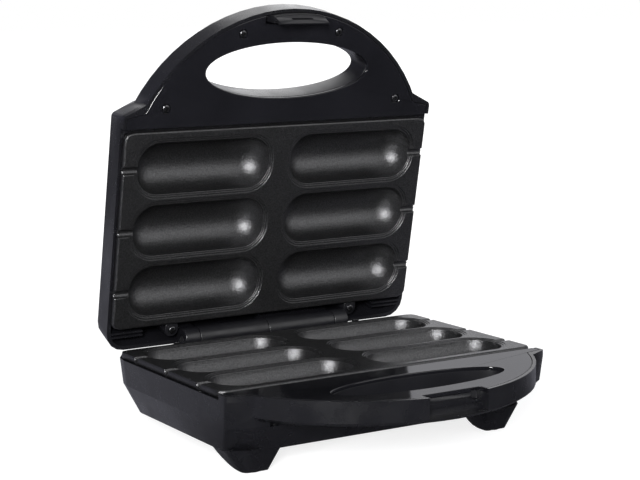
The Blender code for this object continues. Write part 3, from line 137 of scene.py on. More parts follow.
# Screws and lamps
SCREW_PLACES = ((-0.082, -0.0755), (-0.034, -0.1193), (0.082, -0.0755), (0.034, -0.1193))
SCREW_RECESS = 0.003
SCREW_RECESS_DEPTH = 0.0016
SCREW_HOLE = 0.0016
SCREW_SUNK = 0.0003
HEAD_HEIGHT = 0.0013
CROSS_DEPTH = 0.0009
CROSS_REACH = 0.0016
CROSS_ARM = 0.00038
LAMP_Y = 0.03
LAMP_X = 0.012
LAMP_RADIUS = 0.0056
LAMP_DOME = 0.0042
LAMP_STEM = 0.0042
LAMP_PROUD = 0.0003
WHITE = (1, 1, 1, 1)
RED = (0.55, 0.02, 0.02)
GREEN = (0.03, 0.38, 0.08)

# Plates
PLATES = {"base": "lower", "lid": "upper"}
PLATE_HALF_X = 0.108
PLATE_HALF_Y = 0.062
PLATE_CORNER = 0.005
PLATE_CORE = np.array((PLATE_HALF_X, PLATE_HALF_Y)) - PLATE_CORNER
PLATE_FACE = 0.0002
PLATE_EDGE = 0.0012
PLATE_SHEET = 0.0016
SKIRT_DEPTH = 0.004
SKIRT_EDGE = 0.0003
EAR_X = 0.066
EAR_Y = 0.0665
EAR_RADIUS = 0.0045
EAR_CORNER = 0.0044
EAR_SHEET = 0.0016
EAR_OVERLAP = 0.001
CAVITY_HALF_X = 0.045
CAVITY_HALF_Y = 0.0159
CAVITY_CORNER = 0.0142
CAVITY_DEPTH = 0.0155
CAVITY_PITCH = 0.0388
CAVITY_COLUMN = 0.0529
CAVITY_ANGLES = (*range(90, 6, -6), 8, 5)
CHANNEL_RIM = 0.0004

# The ledge: (offset, depth) pairs of its brim, and (offset, share of the rise) pairs of a step
BRIM = ((0.0, 0.0006), (0.00006, 0.0003), (0.00018, 0.0001), (0.0004, 0.0), (0.00046, 0.0))
STEP = ((-0.00024, 0.0), (-0.00018, 0.0), (-0.0001, 0.1), (0.0, 0.42))
STEP += ((0.0001, 0.76), (0.00018, 0.95), (0.00026, 1.0), (0.00032, 1.0))

# Points of a cell's ring: across its ends, along its sides and round its corners
HALF_END = np.array((0, 0.0006, 0.0012, 0.0017, 0.00205, 0.00225, 0.00235, 0.0025, 0.0027, 0.0034))
END_PLACES = np.concatenate([-HALF_END[:0:-1], HALF_END])
SIDE_SAMPLES = np.linspace(1, -1, 15)
CORNER_HALF_STEPS = 9
QUARTERS = ((1, 1), (-1, 1), (-1, -1), (1, -1))

# Black plastics: roughness and how much they mirror
PLASTICS = {
    "moulded_black": (0.27, 0.5),
    "polished_black": (0.07, 0.5),
    "satin_black": (0.36, 0.5),
    "shaded_black": (0.5, 0.12),
}
# Nearly all values of a noise lie between these two
NOISE_LOW, NOISE_HIGH = 0.3, 0.7

# The stage: names, places and sizes of the lights, and the camera of the photograph
FLOOR_HALF = 12.0
LIGHTS = (
    ("key", (-0.95, -1.2, 0.55), 0.32),
    ("front", (1.0, -1.4, 0.85), 1.4),
    ("top", (-0.2, -0.3, 1.7), 1.2),
    ("back", (0.75, 1.25, 0.95), 0.9),
)
CAMERA_PLACE = np.array((-0.52746, -0.82332, 0.20945))
CAMERA_TURN = (82.27, 0.51, -30.76)
CAMERA_SENSOR = 36
CAMERA_LENS = 93.0
CAMERA_SHIFT = (0.0795, -0.0279)

# From half coordinates to the frame, and how far the lid and the latch are swung out at rest
SHIFT_Y = HINGE["pos_m"][1] - HINGE_Y
STAND = HINGE["pos_m"][2] + HINGE_DROP
LID_OPENING = radians(HINGE["range_deg"][1])
LATCH_SWING = radians(PIVOT["range_deg"][1])


# Placing: half coordinates to the frame


def turned(points, centre_y, centre_z, angle):
    """Points turned about a line along x: y and z mix by the cosine and sine of the angle."""
    y = points[..., 1] - centre_y
    z = points[..., 2] - centre_z
    out = points.copy()
    out[..., 1] = centre_y + y * cos(angle) - z * sin(angle)
    out[..., 2] = centre_z + y * sin(angle) + z * cos(angle)
    return out


def standing(points):
    return points + np.array((0, SHIFT_Y, STAND))


def opened(points):
    return standing(turned(points, HINGE_Y, -HINGE_DROP, -LID_OPENING))


PLACES = {
    "base": lambda points: standing(points * np.array((1, 1, -1))),
    "lid": opened,
    "latch": lambda points: opened(turned(points, -PIN_Y, PIN_DEPTH, -LATCH_SWING)),
}


# Meshes from whole-array grids


def grid_faces(rows, columns):
    """Quads between neighbouring points of a grid numbered row by row, where each row is a ring."""
    first = np.arange(rows - 1)[:, None] * columns
    column = np.arange(columns)
    after = np.roll(column, -1)
    below = first + columns
    return np.stack([first + column, first + after, below + after, below + column], axis=-1)


def linked(name, data):
    """A new object in the scene's collection."""
    made = bpy.data.objects.new(name, data)
    bpy.context.scene.collection.objects.link(made)
    return made


class Skin:
    """Points and quads of one piece, gathered patch by patch in half coordinates."""

    def __init__(self, *grids):
        self.points = []
        self.faces = []
        for grid in grids:
            self.add(grid)

    def add(self, grid, keep=None):
        """A patch from an array of rings of points; keep tells which quads of every ring stay."""
        faces = grid_faces(*grid.shape[:2])
        if keep is not None:
            faces = faces[:, keep]
        self.faces.append(faces.reshape(-1, 4) + sum(map(len, self.points)))
        self.points.append(grid.reshape(-1, 3))

    def build(self, name, body, finish, sharp=40, open_towards=None):
        """The welded mesh as an object that rides on a body, its faces pointing outwards.

        An open skin is turned so that its faces point, on the whole, along open_towards.
        """
        mesh = bpy.data.meshes.new(name)
        points = PLACES[body](np.concatenate(self.points))
        mesh.from_pydata(points.tolist(), [], np.concatenate(self.faces).tolist())
        weld(mesh, open_towards)
        mesh.shade_smooth()
        mesh.set_sharp_from_angle(angle=radians(sharp))
        mesh.materials.append(finish)
        piece = linked(name, mesh)
        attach(piece, body)
        return piece


def weld(mesh, open_towards=None, distance=2e-6, flat=None):
    """Merges points that coincide, makes the faces agree and joins those that lie flat."""
    bm = bmesh.new()
    bm.from_mesh(mesh)
    bmesh.ops.remove_doubles(bm, verts=bm.verts, dist=distance)
    bmesh.ops.dissolve_degenerate(bm, edges=bm.edges, dist=distance)
    bmesh.ops.recalc_face_normals(bm, faces=bm.faces)
    if open_towards is not None:
        facing = sum(face.calc_area() * face.normal.dot(open_towards) for face in bm.faces)
        if facing < 0:
            bmesh.ops.reverse_faces(bm, faces=bm.faces)
    if flat is not None:
        bmesh.ops.dissolve_limit(bm, angle_limit=flat, verts=bm.verts, edges=bm.edges)
    bm.to_mesh(mesh)
    bm.free()
    mesh.update()


def with_depth(outline, depth):
    """A plan outline of shape (n, 2) as a ring of points at one depth, or at one depth each."""
    return np.column_stack([outline, np.broadcast_to(depth, len(outline))])


def stacked(rows):
    """Rings of points from (outline, depth) pairs."""
    return np.stack([with_depth(outline, depth) for outline, depth in rows])


def rings(profile, outline):
    """A profile of (inset, depth) pairs along an outline that is a function of its inset."""
    return stacked([(outline(inset), depth) for inset, depth in profile])


def circle(count):
    """Cosines and sines of angles spread evenly round a circle."""
    angles = np.linspace(0, 2 * pi, count, endpoint=False)
    return np.cos(angles), np.sin(angles)


def turned_rings(profile, centre, steps=48):
    """A profile of (radius, distance) pairs turned about an axis through centre, as circles."""
    across, along = circle(steps)
    radius, distance = np.array(profile).T[..., None]
    grid = np.stack([radius * across, radius * along, distance + 0 * along], axis=-1)
    return grid + np.array(centre)


def quarter_round(radius, steps=4):
    """(aside, down) steps of a rounded edge, from the face to the side: 1 - sine, 1 - cosine."""
    angles = np.linspace(0, pi / 2, steps + 1)
    return np.column_stack([radius * (1 - np.sin(angles)), radius * (1 - np.cos(angles))])


def add_solid(skin, body):
    """A closed solid from rings of points, its first and last ring filled towards their middles."""
    for end in (body[0], body[-1]):
        middle = np.broadcast_to(end.mean(axis=0), end.shape)
        skin.add(np.stack([middle, (middle + end) / 2, end]))
    skin.add(body)


def add_prism(skin, outline, depths):
    """A closed solid with the same plan at two depths."""
    add_solid(skin, stacked([(outline, depth) for depth in depths]))


# Outlines in plan


def rounded_rectangle(half_x, half_y, corner, centre=(0, 0)):
    """Straight sides joined by quarter circles, anticlockwise from the right."""
    angles = np.radians(np.linspace(0, 90, 9))
    points = []
    for quarter, (side_x, side_y) in enumerate(QUARTERS):
        turn = angles + quarter * pi / 2
        x = side_x * (half_x - corner) + corner * np.cos(turn)
        y = side_y * (half_y - corner) + corner * np.sin(turn)
        points.append(np.column_stack([x, y]))
    return np.concatenate(points) + centre


def shrinking(half_x, half_y, corner, centre):
    """A rounded rectangle as a function of its inset."""
    return lambda inset: rounded_rectangle(half_x - inset, half_y - inset, corner - inset, centre)


def line(start, end, count):
    share = np.linspace(0, 1, count)[:, None]
    return (1 - share) * start + share * end


def bow_points(radius, start, end, count):
    """Points on the handle's bow from one angle to another, in radians."""
    angles = np.linspace(start, end, count)
    return np.column_stack([radius * np.cos(angles), -BOW_CENTRE + radius * np.sin(angles)])


def handle_outline(inset):
    """The handle's plan inside its outer edge by inset.

    The side runs forward, turns by a small round and runs straight on to the bow, at the bearing
    of a point a little along the shoulder's slant. The outline starts and ends on the rear edge.
    """
    half_x = HALF_HOUSING - inset
    corner = SHOULDER_CORNER - inset
    radius = BOW_RADIUS - inset
    turn = np.linspace(0, SHOULDER_SLANT - pi / 2, 9)
    lip_end = -COVER_REAR - LIP_WALL
    side = np.array([(half_x, -COVER_REAR), (half_x, lip_end), (half_x, lip_end - 1e-5)])
    round_x = half_x - corner + corner * np.cos(turn)
    round_y = -SHOULDER_Y + corner * np.sin(turn)
    end_x, end_y = round_x[-1], round_y[-1] + BOW_CENTRE
    slant_x, slant_y = cos(SHOULDER_SLANT), sin(SHOULDER_SLANT)
    along = end_x * slant_x - end_y * slant_y
    travel = along - sqrt(along**2 - (end_x**2 + end_y**2 - radius**2))
    start = np.arctan2(end_y - travel * slant_y, end_x - travel * slant_x)
    bow = bow_points(radius, start, -pi - start, 200)
    right = np.concatenate([side, np.column_stack([round_x, round_y])])
    left = right[::-1] * np.array((-1, 1))
    rear_edge = line(left[-1], side[0], 60)[1:-1]
    return np.concatenate([right, bow, left, rear_edge])


def lens_facing(outline, grow):
    """Points of the lens opening, one for each point of an outline around it, at the same bearing.

    At bearing b the radius is 1 over the root of (cos b / half length)^2 + (sin b / half width)^2.
    """
    away = outline - np.array((0, -LENS_Y))
    bearing = np.arctan2(away[:, 1], away[:, 0])
    across, along = np.cos(bearing), np.sin(bearing)
    reach = 1 / np.hypot(across / (LENS_HALF_X + grow), along / (LENS_HALF_Y + grow))
    return np.column_stack([reach * across, reach * along - LENS_Y])


def lens_outline(grow):
    """The lens opening's ellipse, wider all round by grow."""
    across, along = circle(160)
    return np.column_stack([(LENS_HALF_X + grow) * across, (LENS_HALF_Y + grow) * along - LENS_Y])


# Shader nodes


def set_inputs(tree, node, inputs):
    """Sets a node's inputs, by name or number, to plain values or links them to sockets."""
    for key, value in inputs.items():
        if isinstance(value, NodeSocket):
            tree.links.new(value, node.inputs[key])
        else:
            node.inputs[key].default_value = value


def add_node(tree, kind, inputs=(), **options):
    """A shader node's outputs, after its options and its inputs are set."""
    node = tree.nodes.new("ShaderNode" + kind)
    for option, value in options.items():
        setattr(node, option, value)
    set_inputs(tree, node, dict(inputs))
    return node.outputs


def maths(tree, operation, *values):
    return add_node(tree, "Math", enumerate(values), operation=operation)[0]


def map_range(tree, value, start, end, low, high, kind="SMOOTHSTEP"):
    """Low before start, high after end and a soft or a linear change between them."""
    inputs = {"Value": value, "From Min": start, "From Max": end, "To Min": low, "To Max": high}
    return add_node(tree, "MapRange", inputs, interpolation_type=kind)["Result"]


def noise(tree, scale, detail=2.0, roughness=0.5):
    """Noise on Object coordinates, scale in features per metre."""
    place = add_node(tree, "TexCoord")["Object"]
    inputs = {"Vector": place, "Scale": scale, "Detail": detail, "Roughness": roughness}
    return add_node(tree, "TexNoise", inputs)["Fac"]


def blend_colours(tree, factor, *colours):
    """One colour up to the low end of a noise, the other from its high end, blended between."""
    ramp = tree.nodes.new("ShaderNodeValToRGB")
    for stop, position, colour in zip(ramp.color_ramp.elements, (NOISE_LOW, NOISE_HIGH), colours):
        stop.position = position
        stop.color = (*colour, 1)
    set_inputs(tree, ramp, {"Fac": factor})
    return ramp.outputs["Color"]


def mix_shaders(tree, factor, first, second):
    return add_node(tree, "MixShader", {"Fac": factor, 1: first, 2: second})[0]


def glowing(tree, kind, colour, strength):
    """An emission or a background."""
    return add_node(tree, kind, {"Color": colour, "Strength": strength})[0]


# Finishes


def new_material(name):
    material = bpy.data.materials.new(name)
    material.use_nodes = True
    return material, material.node_tree, material.node_tree.nodes["Principled BSDF"]


def grained(name, tints, cloud, gloss, grain, bumps=None, depth=0.0, even=()):
    """A material from noises on Object coordinates, each given as (scale, detail, roughness).

    The cloud noise blends two tints, the grain noise moves the roughness between two values and
    the bumps raise the surface by a depth. Even values go to the shader as they are.
    """
    material, tree, shader = new_material(name)
    inputs = dict(even)
    inputs["Base Color"] = blend_colours(tree, noise(tree, *cloud), *tints)
    coarse = noise(tree, *grain)
    inputs["Roughness"] = map_range(tree, coarse, NOISE_LOW, NOISE_HIGH, *gloss, "LINEAR")
    if bumps:
        height = noise(tree, *bumps)
        inputs["Normal"] = add_node(tree, "Bump", {"Height": height, "Distance": depth})[0]
    set_inputs(tree, shader, inputs)
    return material


def shade(colour, factor):
    return tuple(min(c * factor, 1) for c in colour)


def gloss_plastic(name, colour, roughness, mirror):
    """Polished moulded plastic: faint orange peel and slight changes of gloss."""
    tints = (colour, shade(colour, 1.35))
    gloss = (roughness * 0.8, roughness * 1.3)
    even = {"IOR": 1.45, "Specular IOR Level": mirror}
    return grained(name, tints, (35,), gloss, (60, 4), (900, 2), 0.00001, even)


def non_stick(name, colour):
    """Sprayed coating over cast metal: fine grain, soft sheen and faint cloudiness."""
    tints = (colour, shade(colour, 1.9))
    grain, bumps = (700, 3, 0.7), (850, 3, 0.8)
    even = {"Metallic": 0.96}
    return grained(name, tints, (1100, 2, 0.7), (0.28, 0.41), grain, bumps, 0.00025, even)


def metal(name, colour, roughness):
    """Plated or drawn steel: fine grain in the gloss and a faint tint."""
    tints = (shade(colour, 0.8), colour)
    gloss = (roughness * 0.7, roughness * 1.4)
    even = {"Metallic": 1.0}
    return grained(name, tints, (250, 4), gloss, (1800, 3), (2500, 2), 0.00001, even)


def matte(name, colour, roughness):
    """Rubber, ceramic or sleeving: an even colour broken by a fine grain."""
    tints = (colour, shade(colour, 1.4))
    gloss = (roughness * 0.85, min(roughness * 1.15, 1))
    return grained(name, tints, (200, 3), gloss, (1200, 2), (1200, 3), 0.00004)


def lamp_plastic(name, colour):
    """Tinted translucent plastic of a pilot lamp's lens."""
    tints = (shade(colour, 0.6), colour)
    even = {"Transmission Weight": 0.5}
    return grained(name, tints, (400,), (0.06, 0.16), (700,), even=even)


FITTINGS = {
    "steel": ("drawn_steel", metal, (0.42, 0.42, 0.43), 0.32),
    "zinc_sheet": ("zinc_sheet_metal", metal, (0.55, 0.56, 0.58), 0.42),
    "rubber": ("rubber_black", matte, (0.016, 0.016, 0.017), 0.75),
    "red_lens": ("red_plastic", lamp_plastic, RED),
    "green_lens": ("green_plastic", lamp_plastic, GREEN),
    "glass": ("lamp_glass", lamp_plastic, (0.8, 0.75, 0.7)),
    "ceramic": ("glazed_ceramic", matte, (0.7, 0.68, 0.62), 0.5),
    "insulation": ("glass_sleeving", matte, (0.7, 0.7, 0.66), 0.85),
}


def finish_named(name, make, *values):
    """The material of that name, made once."""
    return bpy.data.materials.get(name) or make(name, *values)


def plastic(context, name):
    """One of the black plastics."""
    colour = tuple(context.scene.corn_dog_housing.plastic_colour)
    return finish_named(name, gloss_plastic, colour, *PLASTICS[name])


def plate_finish(context):
    colour = tuple(context.scene.corn_dog_plates.coating_colour)
    return finish_named("non_stick_coating", non_stick, colour)


# Settings


def setting(kind, **options):
    """Makes properties of one kind, each from its name, description and default."""
    return lambda name, description, default: kind(
        name=name, description=description, default=default, **options
    )


factor = setting(FloatProperty)
length = setting(FloatProperty, unit="LENGTH", precision=5)
power = setting(FloatProperty, unit="POWER", min=0)
colour = setting(FloatVectorProperty, subtype="COLOR", min=0, max=1)


class StageSettings(PropertyGroup):
    floor_colour: colour("Floor", "Colour of the floor", (0.86, 0.86, 0.87))
    floor_mirrored: factor("Mirrored floor", "Brightness of the floor in reflections", 0.34)
    key_power: power("Key light", "Softbox beside the camera", 44)
    front_power: power("Front light", "Softbox in front, at the right", 11)
    top_power: power("Top light", "Softbox overhead", 2.5)
    back_power: power("Back light", "Softbox behind, at the right", 3)


class HousingSettings(PropertyGroup):
    edge_round: length("Edge round", "Radius on the moulded edges", 0.0004)
    knuckle_round: length("Knuckle round", "Radius on the rims of the hinge's knuckles", 0.0007)
    plastic_colour: colour("Plastic", "Colour of the housings and covers", (0.0045, 0.0045, 0.0056))


class PlateSettings(PropertyGroup):
    cavity_depth: length("Cavity depth", "Depth of each cavity under the face", CAVITY_DEPTH)
    ledge_width: length("Ledge width", "Width of the step round each cavity", 0.0027)
    ledge_depth: length("Ledge depth", "Depth of that step", 0.0009)
    channel_radius: length("Channel radius", "Radius of the stick channels", 0.0023)
    coating_colour: colour("Coating", "Colour of the non-stick coating", (0.054, 0.054, 0.0555))


class HandleSettings(PropertyGroup):
    edge_round: length("Edge round", "Radius on the covers' edges", 0.0006)
    lining_wall: length("Lining wall", "Thickness of the finger opening's wall", 0.0005)


class LatchSettings(PropertyGroup):
    width: length("Width", "Width of the latch tab", 0.0345)
    edge_round: length("Edge round", "Radius on the pad's edges", 0.0007)
    reach: length("Reach", "How far the tab stands out past the parting plane", 0.0126)


class ScrewSettings(PropertyGroup):
    head_radius: length("Head radius", "Radius of the screw heads", 0.0023)
    steel_colour: colour("Steel", "Colour of the screws", (0.11, 0.11, 0.115))


SETTINGS = {
    "corn_dog_stage": StageSettings,
    "corn_dog_housing": HousingSettings,
    "corn_dog_plates": PlateSettings,
    "corn_dog_handle": HandleSettings,
    "corn_dog_latch": LatchSettings,
    "corn_dog_screws": ScrewSettings,
}


# Operators and the shapes they make


class CORNDOG_OT_stage(Operator):
    """Makes the floor, the world, the soft lights and the camera"""

    bl_idname = "corn_dog.stage"
    bl_label = "Stage"

    def execute(self, context):
        scene = context.scene
        scene.view_settings.view_transform = "Standard"
        make_floor(scene.corn_dog_stage)
        scene.world = make_world()
        for name, location, size in LIGHTS:
            make_light(name, location, size, getattr(scene.corn_dog_stage, f"{name}_power"))
        scene.camera = make_camera()
        return {"FINISHED"}


def make_floor(settings):
    """A sheet that whitens with distance for the camera, and so keeps the shadow near the object.

    Where gloss mirrors it, it is dim in front, brighter to both sides and dimmer far behind.
    """
    material, tree, paper = new_material("floor_paper")
    set_inputs(tree, paper, {"Base Color": (*settings.floor_colour, 1), "Roughness": 0.9})
    paths = add_node(tree, "LightPath")
    place = add_node(tree, "TexCoord")["Object"]
    x, y, _ = add_node(tree, "SeparateXYZ", {0: place})
    slanted = maths(tree, "MULTIPLY_ADD", maths(tree, "ABSOLUTE", x), 0.35, y)
    near = map_range(tree, y, -0.45, -0.25, 0.04, 0.07)
    beside = map_range(tree, slanted, -0.06, 0.12, 0.0, settings.floor_mirrored)
    beyond = map_range(tree, y, 0.5, 1.6, 1.0, 0.35)
    strength = maths(tree, "MULTIPLY", maths(tree, "MAXIMUM", near, beside), beyond)
    reflected = glowing(tree, "Emission", (0.86, 0.86, 1, 1), strength)
    mirrored = mix_shaders(tree, paths["Is Glossy Ray"], paper.outputs[0], reflected)
    distance = add_node(tree, "VectorMath", {0: place}, operation="LENGTH")["Value"]
    whitened = map_range(tree, distance, 0.2, 0.7, 0.62, 1.0)
    share = maths(tree, "MULTIPLY", paths["Is Camera Ray"], whitened)
    seen = mix_shaders(tree, share, mirrored, glowing(tree, "Emission", WHITE, 1.3))
    set_inputs(tree, tree.nodes["Material Output"], {"Surface": seen})
    mesh = bpy.data.meshes.new("floor")
    corners = [(side_x * FLOOR_HALF, side_y * FLOOR_HALF, 0) for side_x, side_y in QUARTERS]
    mesh.from_pydata(corners, [], [(0, 1, 2, 3)])
    mesh.materials.append(material)
    floor = linked("floor", mesh)


def make_world():
    """White for the camera and for clear rays, soft grey for the light it gives, and for mirrored
    rays a backdrop that is dark on the camera's side and brightest low behind the object."""
    world = bpy.data.worlds.new("studio")
    world.use_nodes = True
    tree = world.node_tree
    tree.nodes.clear()
    paths = add_node(tree, "LightPath")
    place = add_node(tree, "TexCoord")["Generated"]
    x, y, z = add_node(tree, "SeparateXYZ", {0: place})
    across = map_range(tree, x, -0.4, 0.38, NOISE_LOW, NOISE_HIGH)
    tint = blend_colours(tree, across, (0.29, 0.29, 0.38), (0.93, 0.93, 0.98))
    height = map_range(tree, z, 0.35, 0.8, 0.65, 0.28)
    slanted = maths(tree, "MULTIPLY_ADD", x, 0.6, y)
    behind = map_range(tree, slanted, -0.1, 0.5, 0.1, 1.0)
    mirror = glowing(tree, "Background", tint, maths(tree, "MULTIPLY", height, behind))
    light = glowing(tree, "Background", (0.92, 0.95, 1, 1), 0.3)
    lit = mix_shaders(tree, paths["Is Glossy Ray"], light, mirror)
    seen = maths(tree, "MAXIMUM", paths["Is Camera Ray"], paths["Is Transmission Ray"])
    shown = mix_shaders(tree, seen, lit, glowing(tree, "Background", WHITE, 1))
    add_node(tree, "OutputWorld", {"Surface": shown})
    return world


def make_light(name, location, size, power):
    """A square softbox that looks at the middle of the appliance."""
    data = bpy.data.lights.new(name, "AREA")
    data.size = size
    data.energy = power
    lamp = linked(name, data)
    target = (CAD_BOX[0] + CAD_BOX[1]) / 2
    lamp.location = location
    lamp.rotation_euler = (target - lamp.location).to_track_quat("-Z", "Y").to_euler()


def make_camera():
    data = bpy.data.cameras.new("camera")
    data.sensor_width = CAMERA_SENSOR
    data.lens = CAMERA_LENS
    data.shift_x, data.shift_y = CAMERA_SHIFT
    camera = linked("camera", data)
    camera.location = standing(CAMERA_PLACE)
    camera.rotation_euler = [radians(turn) for turn in CAMERA_TURN]
    return camera


class CORNDOG_OT_housings(Operator):
    """Makes both moulded housings from welded copies of their solids, with rounded edges"""

    bl_idname = "corn_dog.housings"
    bl_label = "Housings"

    def execute(self, context):
        width = context.scene.corn_dog_housing.edge_round
        finish = plastic(context, "moulded_black")
        for body in PLATES:
            node = f"{body}_housing"
            tools = Skin()
            if body == "base":
                add_slot(tools, CLEAR_TOP)
            else:
                outline = lens_outline(-LENS_LEDGE[body])
                add_prism(tools, outline, (CLEAR_TOP, LENS_ROOM_BOTTOM))
            piece = moulded_copy(node, body, finish, width, tools)
            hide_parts(node)
        return {"FINISHED"}


def add_slot(skin, top):
    """The slot at the end of the notch's back wall, as a solid to take away."""
    outline = rounded_rectangle(*SLOT_PLAN, (SLOT_X, -NOTCH_BACK))
    add_prism(skin, outline, (top, SLOT_BOTTOM))


def moulded_copy(node, body, finish, width, tools):
    """A welded copy of a solid, with room cut, its flat faces joined and its edges rounded."""
    name = f"{body}_shell"
    mesh = frame["nodes"][node].data.copy()
    mesh.name = name
    mesh.materials.clear()
    mesh.materials.append(finish)
    weld(mesh, distance=1e-6)
    piece = linked(name, mesh)
    carve(piece, tools, body)
    weld(piece.data, distance=1e-6, flat=radians(0.4))
    piece.data.shade_smooth()
    piece.data.set_sharp_from_angle(angle=radians(30))
    bevel = piece.modifiers.new("edges", "BEVEL")
    bevel.width = width
    bevel.segments = 2
    bevel.limit_method = "ANGLE"
    bevel.harden_normals = True
    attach(piece, body)
    return piece


class CORNDOG_OT_knuckles(Operator):
    """Makes the satin skins of the hinge's knuckles"""

    bl_idname = "corn_dog.knuckles"
    bl_label = "Hinge knuckles"

    def execute(self, context):
        edge = context.scene.corn_dog_housing.knuckle_round
        finish = plastic(context, "satin_black")
        for body, places in KNUCKLES.items():
            depth = HINGE_DROP if body == "base" else -HINGE_DROP
            skin = Skin(*[knuckle_rings(*ends, edge, depth) for ends in places])
            piece = skin.build(f"{body}_knuckles", body, finish, 30)
        return {"FINISHED"}


def knuckle_rings(start, end, edge, depth):
    """A barrel just outside a solid knuckle: a profile of (radius, x) pairs with rounded rims,
    turned about the hinge's line."""
    start = start + BARREL_GAP - KNUCKLE_SKIN
    end = end - BARREL_GAP + KNUCKLE_SKIN
    radius = BARREL_RADIUS + KNUCKLE_SKIN
    rim = quarter_round(edge, 5)
    profile = [(KNUCKLE_BORE, start)]
    profile += [(radius - inwards, start + along) for inwards, along in rim]
    profile += [(radius - inwards, end - along) for inwards, along in rim[::-1]]
    profile += [(KNUCKLE_BORE, end), (KNUCKLE_BORE, start)]
    return np.roll(turned_rings(profile, (HINGE_Y, depth, 0), 64), 1, axis=-1)


class CORNDOG_OT_plates(Operator):
    """Makes both cooking plates with their cavities, ledges and stick channels"""

    bl_idname = "corn_dog.plates"
    bl_label = "Plates"

    def execute(self, context):
        settings = context.scene.corn_dog_plates
        for body, word in PLATES.items():
            skin = Skin()
            for column in (-1, 1):
                for row in (-1, 0, 1):
                    add_cell(skin, settings, column, row)
            middle, above = PLACES[body](np.array([(0.0, 0.0, 0.0), (0.0, 0.0, -1.0)]))
            finish = plate_finish(context)
            plate = skin.build(f"{word}_cooking_plate", body, finish, 50, above - middle)
            wall = plate.modifiers.new("sheet", "SOLIDIFY")
            wall.thickness = PLATE_SHEET
            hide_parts(f"{word}_plate")
            ears = Skin()
            for side in (-1, 1):
                add_ear(ears, side)
            piece = ears.build(f"{word}_plate_ears", body, plastic(context, "satin_black"))
        return {"FINISHED"}


class Cell:
    """One cavity's share of the plate: how far it reaches from the cavity's centre on each side.

    The angles of a corner's points run from its end, without 0 and 90 degrees, through the cell's
    own corner.
    """

    def __init__(self, column, row):
        outer_x = PLATE_HALF_X - PLATE_EDGE - CAVITY_COLUMN
        outer_y = PLATE_HALF_Y - PLATE_EDGE - CAVITY_PITCH
        self.centre = np.array((column * CAVITY_COLUMN, row * CAVITY_PITCH))
        self.reach_x = {side: outer_x if side == column else CAVITY_COLUMN for side in (1, -1)}
        self.reach_y = {side: outer_y if side == row else CAVITY_PITCH / 2 for side in (1, -1)}
        self.core_x = CAVITY_HALF_X - CAVITY_CORNER
        self.core_y = END_PLACES[-1]
        self.angles = []
        for x, y in QUARTERS:
            own = np.arctan2(self.reach_y[y] - self.core_y, self.reach_x[x] - self.core_x)
            first = np.linspace(0, own, CORNER_HALF_STEPS)[1:]
            last = np.linspace(own, pi / 2, CORNER_HALF_STEPS)[1:-1]
            angles = np.concatenate([first, last])
            self.angles.append(angles if x == y else angles[::-1])

    def ring(self, half_x, half_y, corner):
        """A rounded rectangle: two ends, two sides and four corners, anticlockwise from the right.

        The points of an end keep the channel's places across the cavity, so the outer ones already
        lie on the corners' circles, and the corners' angles share out what is left of each quarter.
        """
        core_x, core_y = half_x - corner, half_y - corner
        places = END_PLACES * min(half_y / CAVITY_HALF_Y, 1)
        beyond = np.maximum(np.abs(places) - core_y, 0)
        end_x = core_x + np.sqrt(corner**2 - beyond**2)
        first = np.arcsin(beyond[-1] / corner)
        along = SIDE_SAMPLES * core_x
        straights = [(end_x, places), (along, half_y), (-end_x, -places), (-along, -half_y)]
        turns = [first + angles * (1 - first / (pi / 2)) for angles in self.angles]
        return joined(straights, core_x, core_y, turns, [corner] * 4)

    def border(self):
        """The cell's rectangle, each corner point where its bearing meets the nearer side."""
        straights = []
        for side in (1, -1):
            straights.append((side * self.reach_x[side], side * END_PLACES))
            straights.append((side * SIDE_SAMPLES * self.core_x, side * self.reach_y[side]))
        reaches = []
        for (x, y), angles in zip(QUARTERS, self.angles):
            across = (self.reach_x[x] - self.core_x) / np.cos(angles)
            reaches.append(np.minimum(across, (self.reach_y[y] - self.core_y) / np.sin(angles)))
        return joined(straights, self.core_x, self.core_y, self.angles, reaches)


def joined(straights, core_x, core_y, turns, reaches):
    """A ring of four straight parts, each followed by points at a reach round the core's corner."""
    parts = []
    for straight, (side_x, side_y), turn, reach in zip(straights, QUARTERS, turns, reaches):
        x = side_x * (core_x + reach * np.cos(turn))
        parts += [straight, (x, side_y * (core_y + reach * np.sin(turn)))]
    return np.concatenate([np.column_stack(np.broadcast_arrays(x, y)) for x, y in parts])


def channel_depth(across, radius):
    """Depth of a stick channel at a distance from its middle: a half circle with eased rims."""
    steep = radius * 0.98
    rounded = 0.0001 + np.sqrt(np.maximum(radius**2 - across**2, 0))
    rim = (steep, radius + 5e-5, radius + 2e-4, radius + CHANNEL_RIM)
    eased = np.interp(across, rim, (0.00057, 0.00022, 0.00006, 0))
    return np.where(across < steep, rounded, eased)


